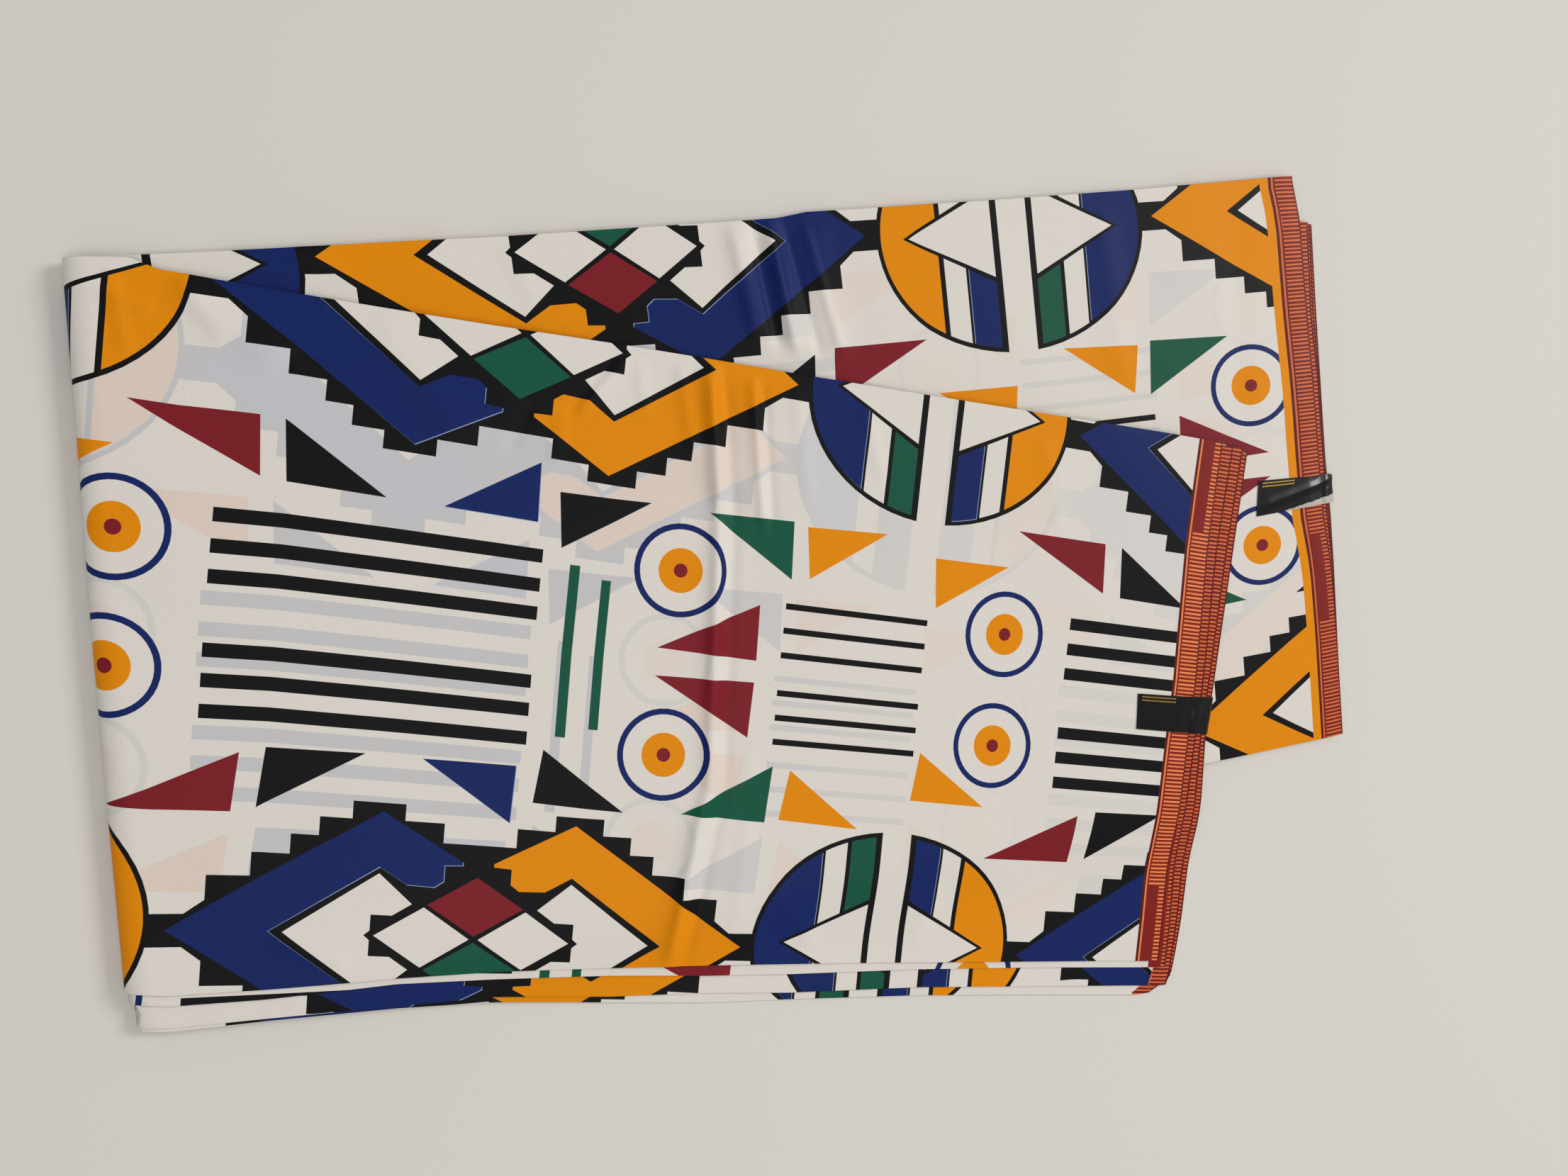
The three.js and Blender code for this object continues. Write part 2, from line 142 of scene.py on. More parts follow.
UPPER_CREASES = table(
    "x0 y0 x1 y1 rise width",
    (-56, 112, -48, 40, 1.5, 9),
    (-48, 60, -51, -120, 1.1, 8),
    (-51, -95, -72, -188, 1.2, 9),
    (-36, 108, -30, 30, 0.9, 6),
    (-284, 132, -238, 96, 0.9, 8),
    (-206, 122, -160, 66, 0.7, 9),
    (-49, 111, -43, 36, -1.0, 3.6),
    (-42, 62, -45, -118, -0.9, 3.6),
    (-44, -92, -64, -190, -1.0, 3.6),
    (-56, 110, -50, 34, 1.5, 3.4),
    (-50, 56, -53, -116, 1.2, 3.2),
    (-53, -88, -72, -188, 1.2, 3.4),
    (-30, 106, -22, 26, -0.7, 3.0),
    (-35, 107, -27, 22, 0.9, 2.8),
    (-70, 110, -62, 60, 0.6, 3.6),
    (-318, 128, -288, 116, 0.5, 3.6),
    (-306, 136, -300, 96, 0.45, 3.4),
    (-282, 134, -262, 104, 0.45, 4.2),
    (-90, 112, -84, 78, 0.35, 3.6),
    (-14, 104, -4, 40, 0.4, 4.4),
    (-30, -60, -38, -180, 0.4, 4.6),
    (-92, 111, -118, 82, 0.75, 3.4),
    (-98, 108, -124, 78, -0.5, 3.2),
    (-136, 88, -148, 62, -0.45, 4.2),
    (-122, 84, -128, 58, 0.45, 3.8),
    (-250, -150, -214, -168, 0.4, 5.0),
    (20, 96, 34, 52, 0.45, 4.4),
    (120, 84, 132, 30, 0.35, 5.0),
    (-20, -140, 6, -182, 0.4, 5.2),
    (70, -150, 58, -188, 0.35, 4.8),
)
UPPER_SEAL = dict(left=182.2, upper=-54.2, lower=-73.4, turn_upper=-58.2, turn_lower=-78.4)
LOWER_SEAL = dict(left=256.2, upper=61.2, lower=41.6, turn_upper=66.6, turn_lower=51.0)


# ---- small maths ----
CREASE_DEPTH = 1.45  # how much deeper the creases of the cloth are than the tables' rises
# Slow, uneven waves: height, how fast they go along x and y, and how far the seed moves them.
RIPPLES = ((0.19, 23.0, 61.0, 1.0), (0.18, 47.0, -29.0, 2.3), (0.09, 11.0, 17.0, 1.7))


def at(rows, key, name, where):
    """A table's column at places along its key."""
    return np.interp(where, rows[key], rows[name])


def smooth(share):
    share = np.clip(share, 0.0, 1.0)
    return share * share * (3 - 2 * share)


def unit(vectors):
    return vectors / np.maximum(np.linalg.norm(vectors, axis=1), 1e-9)[:, None]


def pairs(xs, ys):
    return [(float(x), float(y)) for x, y in zip(xs, ys)]


def run_along(path):
    """Distance from a path's start to each of its points."""
    return np.concatenate([[0], np.cumsum(np.hypot(*np.diff(path, axis=0).T))])


def spine_x(y):
    return at(SPINE, "y", "x", y)


def turn_start(y):
    """Where the cloth starts to turn round the spine."""
    return spine_x(y) + SPINE_DEPTH + GAP


def under_upper(x, y):
    """Height of the upper half's underside: level on the lower half, then drooping."""
    overhang = at(LOWER_SECTIONS, "x", "bottom", x) - y
    return (HALF + GAP) * (1 - smooth((overhang - DROOP_START) / (DROOP_END - DROOP_START)))


def on_table(x, y):
    return 0.0 * x


def dip(ends, name, x, y, depth, length):
    """How far a ply bends down towards its free end."""
    from_end = at(ends, "y", name, y) - x
    return depth * smooth((length - from_end) / length)


def crease_rise(creases, x, y):
    total = np.zeros_like(x)
    for x0, y0, x1, y1, rise, width in zip(*creases.values()):
        dx, dy = x1 - x0, y1 - y0
        length = math.hypot(dx, dy)
        along = ((x - x0) * dx + (y - y0) * dy) / length**2
        across = ((x - x0) * dy - (y - y0) * dx) / length
        ends = smooth(along * 5) * smooth((1 - along) * 5)
        total = total + CREASE_DEPTH * rise * ends * np.exp(-((across / width) ** 2))
    return total


def ripple(x, y, seed):
    return sum(rise * np.sin(x / by_x + y / by_y + move * seed) for rise, by_x, by_y, move in RIPPLES)


def inside(points, polygon):
    """Which points (N x 2) lie in a closed polygon."""
    x, y = points[:, 0], points[:, 1]
    found = np.zeros(len(points), dtype=bool)
    before = polygon[-1]
    for now in polygon:
        crosses = (now[1] > y) != (before[1] > y)
        if crosses.any():
            slope = (before[0] - now[0]) / ((before[1] - now[1]) or 1e-9)
            found ^= crosses & (x < slope * (y - now[1]) + now[0])
        before = now
    return found


# ---- the print ----
# Cloth coordinates: w along the folded strip, v across it. The print repeats every PERIOD in w, and
# mirrors at v = 0 and v = MIRROR. Motifs are listed for 0 <= v <= MIRROR.
PERIOD = 412.0
MIRROR = 138.5
COMPOSITE_W = 168.0  # middle of the long motif
ROUNDEL_W = 373.5  # middle of the round motif
ROUNDEL = (71.5, 60.0)  # half its length and half its width
OUTLINE = 2.3
# How far the motifs slide in v, on each side of v = 0.
ROUNDEL_SLIDES = (4.4, 4.2)
LONG_SLIDES = (1.0, 1.0)
# Rings: middle and slide, then the discs of each, one over the other.
RINGS = table("w v slide", (9.8, 29, 3.4), (249.4, 44, 0))
RING_RADII = (("blue", 22.2), ("white", 19.4), ("ochre", 10.6), ("maroon", 3.3))
RING_POINTS = 40
# Bars: colour, from and to along the strip, from and to across it.
BARS = (
    ("black", 47, 185, 12.6, 18.8),
    ("black", 47, 185, 25.6, 31.8),
    ("black", 47, 185, 38.9, 45.1),
    ("black", 303, 378, 7.8, 10.8),
    ("black", 303, 378, 19.9, 22.9),
    ("black", 303, 378, 31.8, 34.8),
    ("green", 197.7, 202.4, 0, 40),
    ("green", 212.8, 217.2, 0, 35),
)
# Triangles: colour, slides of the two sides, corners.
TRIANGLES = (
    ("maroon", (0, 0), (242, 6.6), (290, 32.4), (291, 5.3)),
    ("maroon", (1, 0), (11, 85), (62, 85), (64, 59)),
    ("black", (0, 2.5), (72, 85.4), (115.6, 58), (74.5, 58.8)),
    ("blue", (0, 2), (140, 57.8), (180.3, 84), (181.3, 57.2)),
    ("black", (-1, 1.5), (190, 73.2), (232.5, 74.6), (193, 48)),
    ("green", (0, 1), (260.4, 72.9), (302.6, 74.5), (304.4, 46.4)),
    ("ochre", (-0.5, 1.5), (309.7, 73.3), (351.5, 75.4), (313.4, 48.3)),
    ("ochre", (-0.5, 9.4), (378.6, 66.8), (419.6, 67.4), (381.6, 41.9)),
)
# Half of the long motif, from its middle outwards: distance along, height above its centre line.
STAIRS = (
    (0, 44), (16.3, 44), (16.3, 53), (33.5, 53), (33.5, 60.5), (56, 60.5), (56, 52.5), (69.5, 52.5),
    (69.5, 44), (81, 44), (81, 35), (96.5, 35), (96.5, 24.5), (114, 24.5), (114, 13.5), (122, 7.3),
    (131, 7.3), (131, 0),
)
CHEVRON = (
    (129, 0), (43, 56.5), (7, 35.8), (7, 34.2), (15, 33.8), (15, 26.5), (19, 23.5), (31, 24),
    (43, 31.5), (88, 0),
)
WHITE_VEE = ((82, 0), (43, 28.5), (28.1, 15.2), (36.4, 9.5), (45.5, 9.5), (45.5, 2.2), (48, 0))
WHITE_LOZENGE = ((2, 0), (22.8, 14), (43.8, 0))
MIDDLE_LOZENGE = ((0, 1.4), (21.5, 15.2), (0, 29), (-21.5, 15.2))
# Stripes of the round motif, from its middle outwards on each side.
LEFT_STRIPES = (("green", 11, 24), ("white", 26.2, 37.4), ("blue", 39, 80))
RIGHT_STRIPES = (("blue", 11, 24.7), ("white", 26.3, 37), ("ochre", 39.5, 80))
ROUNDEL_GAP = 7.8  # half the gap between the two sides
ARROW = ((57, 0), (11, 24.3), (9, 24.3), (9, 0))
WHITE_ARROW = ((54, 0), (11.2, 21.6), (11.2, 0))
# Black bands that join the long and the round motifs: where each starts and stops along the strip.
FROM_LONG = 126  # from a band's end to the middle of the long motif
FROM_ROUND = ROUNDEL[0] - 1.5  # the same for the round motif
CONNECTORS = (
    (ROUNDEL_W - PERIOD + FROM_ROUND, COMPOSITE_W - FROM_LONG),
    (COMPOSITE_W + FROM_LONG, ROUNDEL_W - FROM_ROUND),
)
BAND_HALF = 7.3  # half a band's width
# What shows through from the ply below: its colours, and how far it lies from the print on top.
GHOST = {
    "black": "ghost_grey", "blue": "ghost_blue", "ochre": "ghost_warm", "maroon": "ghost_warm",
    "green": "ghost_grey", "white": "white",
}
RING_GHOST = {"blue": "ghost_faint", "white": "white", "ochre": "ghost_blush", "maroon": "ghost_blush"}
GHOST_SHIFT = (-2.0, -35.5)
RING_GHOST_SHIFT = (-3.0, -43.0)
GHOST_LIMIT = -160.0  # nothing shows through below this line across the strip
REACH_BEFORE, REACH_AFTER = 200, 500  # motifs lie within these of the start of their repeat
HALO = (0.3, -0.27)  # the blue screen sits a little off, and leaves a pale line
MIRROR_REACH = 5  # a point closer than this to a mirror line is where two halves meet


def rectangle(w0, w1, v0, v1):
    return [(w0, v0), (w1, v0), (w1, v1), (w0, v1)]


def disc(w, v, radius):
    turns = [2 * math.pi * k / RING_POINTS for k in range(RING_POINTS)]
    return [(w + radius * math.cos(a), v + radius * math.sin(a)) for a in turns]


def stripe(start, stop, radii, steps=14):
    """Part of a half-ellipse between two distances from its middle."""
    stop = min(stop, radii[0])
    arc = []
    for k in range(steps + 1):
        x = stop + (start - stop) * (1 - math.cos(math.pi / 2 * k / steps))
        arc.append((x, radii[1] * math.sqrt(max(0.0, 1 - (x / radii[0]) ** 2))))
    return [(start, 0), (stop, 0)] + arc


def long_motif():
    """Stepped chevrons round four lozenges, as (colour, points) with heights above its middle."""
    shapes = [("black", [(-x, h) for x, h in reversed(STAIRS)] + list(STAIRS))]
    for sign, colour in ((-1, "blue"), (1, "ochre")):
        for paint, points in ((colour, CHEVRON), ("white", WHITE_VEE), ("white", WHITE_LOZENGE)):
            shapes.append((paint, [(sign * x, h) for x, h in points]))
    shapes.append(("swap", list(MIDDLE_LOZENGE)))
    return shapes


def round_motif():
    """A disc of upright stripes with two arrows, split by a gap."""
    inner = (ROUNDEL[0] - OUTLINE, ROUNDEL[1] - OUTLINE)
    shapes = []
    for sign, stripes in ((-1, LEFT_STRIPES), (1, RIGHT_STRIPES)):
        side = [("black", stripe(ROUNDEL_GAP, ROUNDEL[0], ROUNDEL))]
        side += [(colour, stripe(start, stop, inner)) for colour, start, stop in stripes]
        side += [("black", ARROW), ("white", WHITE_ARROW)]
        shapes += [(colour, [(sign * x, h) for x, h in points]) for colour, points in side]
    return shapes


def motifs():
    """One repeat for 0 <= v <= MIRROR, as (colour, points, slides in v of its two sides)."""
    shapes = [
        ("black", rectangle(start, stop, MIRROR - BAND_HALF, MIRROR), LONG_SLIDES)
        for start, stop in CONNECTORS
    ]
    for middle, parts, slides in (
        (COMPOSITE_W, long_motif(), LONG_SLIDES),
        (ROUNDEL_W, round_motif(), ROUNDEL_SLIDES),
    ):
        for colour, points in parts:
            shapes.append((colour, [(middle + x, MIRROR - h) for x, h in points], slides))
    shapes += [(colour, rectangle(*sides), (0, 0)) for colour, *sides in BARS]
    shapes += [(colour, points, slides) for colour, slides, *points in TRIANGLES]
    for w, v, slide in zip(*RINGS.values()):
        shapes += [(colour, disc(w, v, radius), (slide, slide)) for colour, radius in RING_RADII]
    return shapes


def mirrored(shapes):
    """The motifs on both sides of v = 0 and of the mirror lines."""
    sides = (
        (1, 0, 0, "green"),
        (-1, 0, 1, "maroon"),
        (-1, 2 * MIRROR, 0, "maroon"),
        (1, -2 * MIRROR, 1, "green"),
    )
    result = []
    for sign, start, side, swap in sides:
        for colour, points, slides in shapes:
            paint = swap if colour == "swap" else colour
            lift = start + slides[side]
            result.append((paint, [(w, lift + sign * v) for w, v in points]))
    return result


ALL_MOTIFS = mirrored(motifs())


def halo_of(points):
    """A blue shape moved a little, but not across the line where its mirrored half starts."""
    moved = []
    for w, v in points:
        on_mirror = abs(abs(v) % (2 * MIRROR) - MIRROR) < MIRROR_REACH
        moved.append((w + HALO[0], v if on_mirror else v + HALO[1]))
    return moved


def print_on(box, ghosts=True):
    """Every motif that touches a box (w0, v0, w1, v1), lowest first."""
    w0, v0, w1, v1 = box
    first, last = math.floor((w0 - REACH_AFTER) / PERIOD), math.ceil((w1 + REACH_BEFORE) / PERIOD)
    shapes = []
    for real in (False, True) if ghosts else (True,):
        for colour, points in ALL_MOTIFS:
            ring = len(points) == RING_POINTS
            dw, dv = (0, 0) if real else RING_GHOST_SHIFT if ring else GHOST_SHIFT
            paint = colour if real else (RING_GHOST if ring else GHOST)[colour]
            for n in range(first, last + 1):
                moved = [(w + n * PERIOD + dw, v + dv) for w, v in points]
                ws, vs = zip(*moved)
                if max(ws) < w0 or min(ws) > w1 or max(vs) < v0 or min(vs) > v1:
                    continue
                if not real and min(vs) < GHOST_LIMIT:
                    continue
                if real and colour == "blue" and not ring:
                    shapes.append(("halo", halo_of(moved)))
                shapes.append((paint, moved))
    return shapes


# ---- plans: where the cloth coordinates lie on the pack ----
class Lay:
    """Cloth coordinates laid on the plan: an origin, a direction, and a lean of the weft."""

    def __init__(self, origin, degrees, sense, leans, drift, slide=0.0):
        self.origin, self.degrees, self.sense = origin, degrees, sense
        self.leans, self.drift, self.slide = leans, drift, slide
        self.drifted = drift["w"] + drift["along"]
        self.cos, self.sin = math.cos(math.radians(degrees)), math.sin(math.radians(degrees))

    def lean_of(self, p):
        return np.where(p < 0, self.leans[0], self.leans[1]) * p

    def across_at(self, w):
        return np.interp(w, self.drift["w"], self.drift["across"])

    def plan(self, w, v):
        """Plan places of cloth coordinates."""
        p = self.sense * (v + self.across_at(w) - self.slide)
        u = self.sense * (w + np.interp(w, self.drift["w"], self.drift["along"])) - self.lean_of(p)
        x = self.origin[0] + u * self.cos - p * self.sin
        y = self.origin[1] + u * self.sin + p * self.cos
        return x, y

    def cloth(self, x, y):
        """Cloth coordinates of plan places."""
        dx, dy = x - self.origin[0], y - self.origin[1]
        u = dx * self.cos + dy * self.sin
        p = -dx * self.sin + dy * self.cos
        drifted = self.sense * (u + self.lean_of(p))
        past = drifted - np.clip(drifted, self.drifted[0], self.drifted[-1])
        w = np.interp(drifted, self.drifted, self.drift["w"]) + past
        return w, self.sense * p + self.slide - self.across_at(w)

    def slid(self, slide, drift=None):
        """The same plan for a ply below, whose print is slid across and drifts in its own way."""
        return Lay(self.origin, self.degrees, self.sense, self.leans, drift or self.drift, slide)


# How far the print has crept along and across the strip, where creases gather the cloth.
UPPER_DRIFT = table(
    "w along across",
    (-100, 0, 0), (30, 0, 0), (47, 0, 0.8), (75, 0, 1.8), (120, 0, 1.5), (160, 0, 1.0),
    (190, 0, 0.5), (215, 0, 0), (700, 0, 0),
)
LOWER_DRIFT = table(
    "w along across",
    (-760, -13, 0), (-600, -10.5, 0), (-586, -7.5, 0), (-574, -5.5, 0), (-559, -3, 0), (-542, -0.8, 0),
    (-520, 2.2, 0), (-480, 4.2, 0), (-450, 5.5, 0), (-402, 9, 0), (-350, 7, 0), (-300, 8, 0),
    (-244, 4, -1.5), (-180, 3, -3.5), (-115, 2, -6.5), (-70, 1, -10), (-30, 0, -12.5), (60, 0, -14),
)
UPPER_LAY = Lay((-319.24, -3.19), -6.9, 1, (0.05, 0.03), UPPER_DRIFT)
LOWER_LAY = Lay((-319.24, -14.3), 8.3, -1, (0.0, 0.0), LOWER_DRIFT)


# ---- surfaces ----
TABLE_CLEARANCE = 0.02
TOP_DIP = (0.8, 9)  # how deep a top ply bends down at its free end, and over what length
RIM_DIP = (0.6, 5)  # the same for a bundle of hidden plies
PRESSED = (6, 14)  # how far from the upper half creases start, and over what distance they grow


def turn_table(reach, rise, steps=60):
    """Length along a half-ellipse from its top, and its angle, from +90 to -90 degrees."""
    angles = np.linspace(math.pi / 2, -math.pi / 2, steps + 1)
    return run_along(np.column_stack([reach * np.cos(angles), rise * np.sin(angles)])), angles


class Surface:
    """A ply on the plan: level by `top`, folded under at its long edges, turned round the spine.

    `wrap` is the reach and the rise of that turn, or None for a ply that stops before it.
    """

    def __init__(self, top, low_edge, high_edge, end, radius, wrap=None):
        self.top, self.low_edge, self.high_edge, self.end = top, low_edge, high_edge, end
        self.radius, self.wrap = radius, wrap
        if wrap:
            self.lengths, self.angles = turn_table(*wrap)

    def place(self, x, y):
        """Points in space for flat plan points, which may lie past the folds and the spine."""
        low, high, radius = self.low_edge(x), self.high_edge(x), self.radius
        past = np.maximum(low - y, y - high) + radius
        side = np.where(low - y > y - high, -1.0, 1.0)
        fold = np.where(side < 0, low, high)
        angle = np.clip(past / radius, 0, math.pi)
        back = np.clip(past - math.pi * radius, 0, None)
        folded_y = fold + side * (-radius + radius * np.sin(angle) - back)
        y = np.where(past > 0, folded_y, y)
        drop = np.where(past > 0, radius * (1 - np.cos(angle)), 0.0)
        start = turn_start(y)
        level = self.top(np.maximum(x, start), y)
        z = level - drop
        if self.wrap:
            x, z = self.turned(x, z, start, level, drop)
        return np.stack([x + SHIFT[0], y + SHIFT[1], np.maximum(z, TABLE_CLEARANCE)], 1)

    def turned(self, x, z, start, level, drop):
        """Takes what lies past the start of the spine's turn round it."""
        reach, rise = self.wrap
        centre = SPINE_HEIGHT / 2
        past = start - x
        angle = np.interp(np.clip(past, 0, self.lengths[-1]), self.lengths, self.angles)
        shrink = 1 - drop / rise
        extra = np.clip(past - self.lengths[-1], 0, None)
        turned_x = start - reach * shrink * np.cos(angle) + extra
        turned_z = centre + (level - centre) * shrink * np.sin(angle)
        return np.where(past > 0, turned_x, x), np.where(past > 0, turned_z, z)

    def normals(self, x, y, step=0.12):
        dx = self.place(x + step, y) - self.place(x - step, y)
        dy = self.place(x, y + step) - self.place(x, y - step)
        return unit(np.cross(dx, dy))


def upper_level(x, y):
    """Height of the upper half's top ply."""
    lift = crease_rise(UPPER_CREASES, x, y) + ripple(x, y, 0.4)
    return under_upper(x, y) + UPPER_TOP + lift - dip(UPPER_ENDS, "ply", x, y, *TOP_DIP)


def lower_level(x, y):
    """Height of the lower half's top ply, which is smooth under the upper half."""
    clear = y - at(UPPER_SECTIONS, "x", "top", x)
    lift = crease_rise(LOWER_CREASES, x, y) + ripple(x, y, 1.9)
    lift = lift * smooth((clear - PRESSED[0]) / PRESSED[1])
    return HALF + lift - dip(LOWER_ENDS, "ply", x, y, *TOP_DIP)


def edge(rows, name, inset=0.0, key="x"):
    """A table's column as a function of the place along its key."""
    return lambda where: at(rows, key, name, where) + inset


# ---- outlines on the plan ----
def free_end(surface, ys, low_band=0.0, high_band=0.0, back=0.0):
    """The free end, moved back, where it lies between the long edges less a band at each."""
    xs = surface.end(ys) - back
    keep = (ys > surface.low_edge(xs) + low_band) & (ys < surface.high_edge(xs) - high_band)
    return xs[keep], ys[keep]


def outline_of(surface, left, margin, step=6.0):
    """Plan polygon of a ply, carried past its long edges by `margin` for the folds."""
    _, ys = free_end(surface, np.linspace(-260, 260, 400), -margin, -margin)
    ys = np.append(np.arange(ys[0], ys[-1], step), ys[-1])
    right = pairs(surface.end(ys), ys)
    low = np.arange(left, right[0][0] - 1, step)
    high = np.arange(left, right[-1][0] - 1, step)
    outline = pairs(low, surface.low_edge(low) - margin) + right
    outline += pairs(high, surface.high_edge(high) + margin)[::-1]
    if surface.wrap:
        return [(max(x, float(turn_start(y)) - surface.lengths[-1]), y) for x, y in outline]
    return [(max(x, float(spine_x(y)) + SPINE_DEPTH + 1), y) for x, y in outline]


def hole_of(surface, left, low_band, end_band, high_band):
    """The hidden middle of a rim, left open."""
    ys = np.linspace(-250, 250, 501)
    right = pairs(*free_end(surface, ys, low_band, high_band, end_band))[::6]
    low = np.arange(left - 40, right[0][0] - 3, 8.0)
    high = np.arange(left - 40, right[-1][0] - 3, 8.0)
    rim = pairs(low, surface.low_edge(low) + low_band) + right
    return rim + pairs(high, surface.high_edge(high) - high_band)[::-1]


def fold_lines(surface, outline):
    """Lines along both folds, so that the turn is round."""
    xs = np.arange(min(p[0] for p in outline) + 1, max(p[0] for p in outline) - 1, 5.0)
    lines = []
    for share in (0, 0.25, 0.5, 0.75, 1.0):
        offset = -surface.radius + math.pi * surface.radius * share
        lines.append(pairs(xs, surface.low_edge(xs) - offset))
        lines.append(pairs(xs, surface.high_edge(xs) + offset))
    return lines


def spine_lines(surface):
    """Lines along the spine, so that the turn round it is smooth."""
    ys = np.arange(-172, 136, 4.0)
    shares = np.linspace(0, 0.99, 14)
    return [pairs(turn_start(ys) - surface.lengths[-1] * share, ys) for share in shares]


def crease_lines(creases):
    """Lines along each crease, so that its sides are smooth."""
    lines = []
    for x0, y0, x1, y1, _, width in zip(*creases.values()):
        length = math.hypot(x1 - x0, y1 - y0)
        steps = int(length / 3)
        share = np.arange(steps + 1) / steps
        for across in (-1.8, -1.2, -0.7, -0.3, 0.1, 0.5, 0.9, 1.5):
            out = across * width / length
            xs = x0 + (y1 - y0) * out + (x1 - x0) * share
            ys = y0 - (x1 - x0) * out + (y1 - y0) * share
            lines.append(pairs(xs, ys))
    return lines


# ---- meshes ----
def add_object(name, data):
    made = bpy.data.objects.new(name, data)
    bpy.context.scene.collection.objects.link(made)
    return made


def grid_faces(rows, cols):
    """Triangles of a grid of points that are listed row by row."""
    first = (np.arange(rows - 1)[:, None] * cols + np.arange(cols - 1)).ravel()
    return np.concatenate([
        np.column_stack([first, first + cols, first + cols + 1]),
        np.column_stack([first, first + cols + 1, first + 1]),
    ])


class MeshBuilder:
    """Collects triangles with a colour each, then makes one object."""

    def __init__(self):
        self.points, self.normals, self.faces, self.paints, self.uvs = [], [], [], [], []
        self.count = 0

    def add(self, points, normals, faces, paints, uvs):
        self.points.append(points)
        self.normals.append(normals)
        self.uvs.append(uvs)
        self.faces.append(faces + self.count)
        self.paints += list(paints)
        self.count += len(points)

    def object(self, name):
        points = np.concatenate(self.points) * MM
        faces = np.concatenate(self.faces)
        mesh = bpy.data.meshes.new(name)
        mesh.from_pydata(points.tolist(), [], faces.tolist())
        names = sorted(set(self.paints))
        for paint in names:
            mesh.materials.append(PAINTS[paint])
        slot = {paint: k for k, paint in enumerate(names)}
        mesh.polygons.foreach_set("material_index", [slot[p] for p in self.paints])
        mesh.polygons.foreach_set("use_smooth", [True] * len(faces))
        layer = mesh.uv_layers.new(name="cloth")
        uv = np.concatenate(self.uvs) * MM
        layer.data.foreach_set("uv", uv[faces.ravel()].ravel())
        mesh.normals_split_custom_set_from_vertices(np.concatenate(self.normals).tolist())
        mesh.update()
        return add_object(name, mesh)


class Cuts:
    """The points and edges that a ply's flat mesh has to keep."""

    def __init__(self):
        self.points, self.edges = [], []

    def line(self, path, closed, longest=4.0):
        """A line in short steps, so that it follows the surface."""
        first = len(self.points)
        path = [(float(w), float(v)) for w, v in path]
        short = []
        for (w0, v0), (w1, v1) in zip(path, path[1:] + path[:1] if closed else path[1:]):
            steps = max(1, math.ceil(math.hypot(w1 - w0, v1 - v0) / longest))
            short += [(w0 + (w1 - w0) * k / steps, v0 + (v1 - v0) * k / steps) for k in range(steps)]
        if not closed:
            short.append(path[-1])
        self.points += short
        last = first + len(short) - 1
        self.edges += [(k, k + 1) for k in range(first, last)]
        if closed:
            self.edges.append((last, first))

    def triangles(self):
        made = delaunay_2d_cdt([Vector(p) for p in self.points], self.edges, [], 0, 1e-4)
        verts = np.array([(p.x, p.y) for p in made[0]])
        faces = np.array(made[2])
        side_a = verts[faces[:, 1]] - verts[faces[:, 0]]
        side_b = verts[faces[:, 2]] - verts[faces[:, 0]]
        doubled = side_a[:, 0] * side_b[:, 1] - side_a[:, 1] * side_b[:, 0]
        faces[doubled < 0] = faces[doubled < 0][:, ::-1]
        return verts, faces[np.abs(doubled) > 1e-6]


def painted(middles, shapes):
    """The colour of each triangle, from the last shape that its middle lies in."""
    paints = np.full(len(middles), "white", dtype=object)
    for colour, shape in shapes:
        low, high = np.min(shape, axis=0), np.max(shape, axis=0)
        near = np.nonzero(((middles >= low) & (middles <= high)).all(1))[0]
        if len(near):
            paints[near[inside(middles[near], shape)]] = colour
    return paints


def patch(builder, surface, lay, outline, shapes, grid, lines, hole=None):
    """One ply, cut along its outline and along every motif, and laid on its surface."""

    def on_cloth(path):
        return np.stack(lay.cloth(*np.array(path).T), 1)

    rim = on_cloth(outline)
    hole_rim = None if hole is None else on_cloth(hole)

    def on_ply(points):
        found = inside(points, rim)
        return found if hole is None else found & ~inside(points, hole_rim)

    cuts = Cuts()
    cuts.line(rim, True)
    if hole is not None:
        cuts.line(hole_rim, True)
    for path in lines:
        cuts.line(on_cloth(path), False)
    for _, shape in shapes:
        cuts.line(shape, True)
    low, high = rim.min(0), rim.max(0)
    ws, vs = np.meshgrid(*(np.arange(low[k] + grid / 2, high[k], grid) for k in (0, 1)))
    stagger = (np.arange(len(vs)) % 2)[:, None] * grid * 0.5
    nodes = np.stack([(ws + stagger).ravel(), vs.ravel()], 1)
    cuts.points += pairs(*nodes[on_ply(nodes)].T)

    verts, faces = cuts.triangles()
    faces = faces[on_ply(verts[faces].mean(1))]
    paints = painted(verts[faces].mean(1), shapes)
    used, faces = np.unique(faces, return_inverse=True)
    verts = verts[used]
    x, y = lay.plan(verts[:, 0], verts[:, 1])
    builder.add(surface.place(x, y), surface.normals(x, y), faces.reshape(-1, 3), paints, verts)


# ---- selvedges ----
BORDER = 11.6  # width of the border's striped part
BORDER_PIECE = 12.0  # length of its straight pieces
OVER_END = -2  # the border is drawn past the free end, where the outline cuts it
HATCH_PITCH = 2.15  # from one cross line to the next


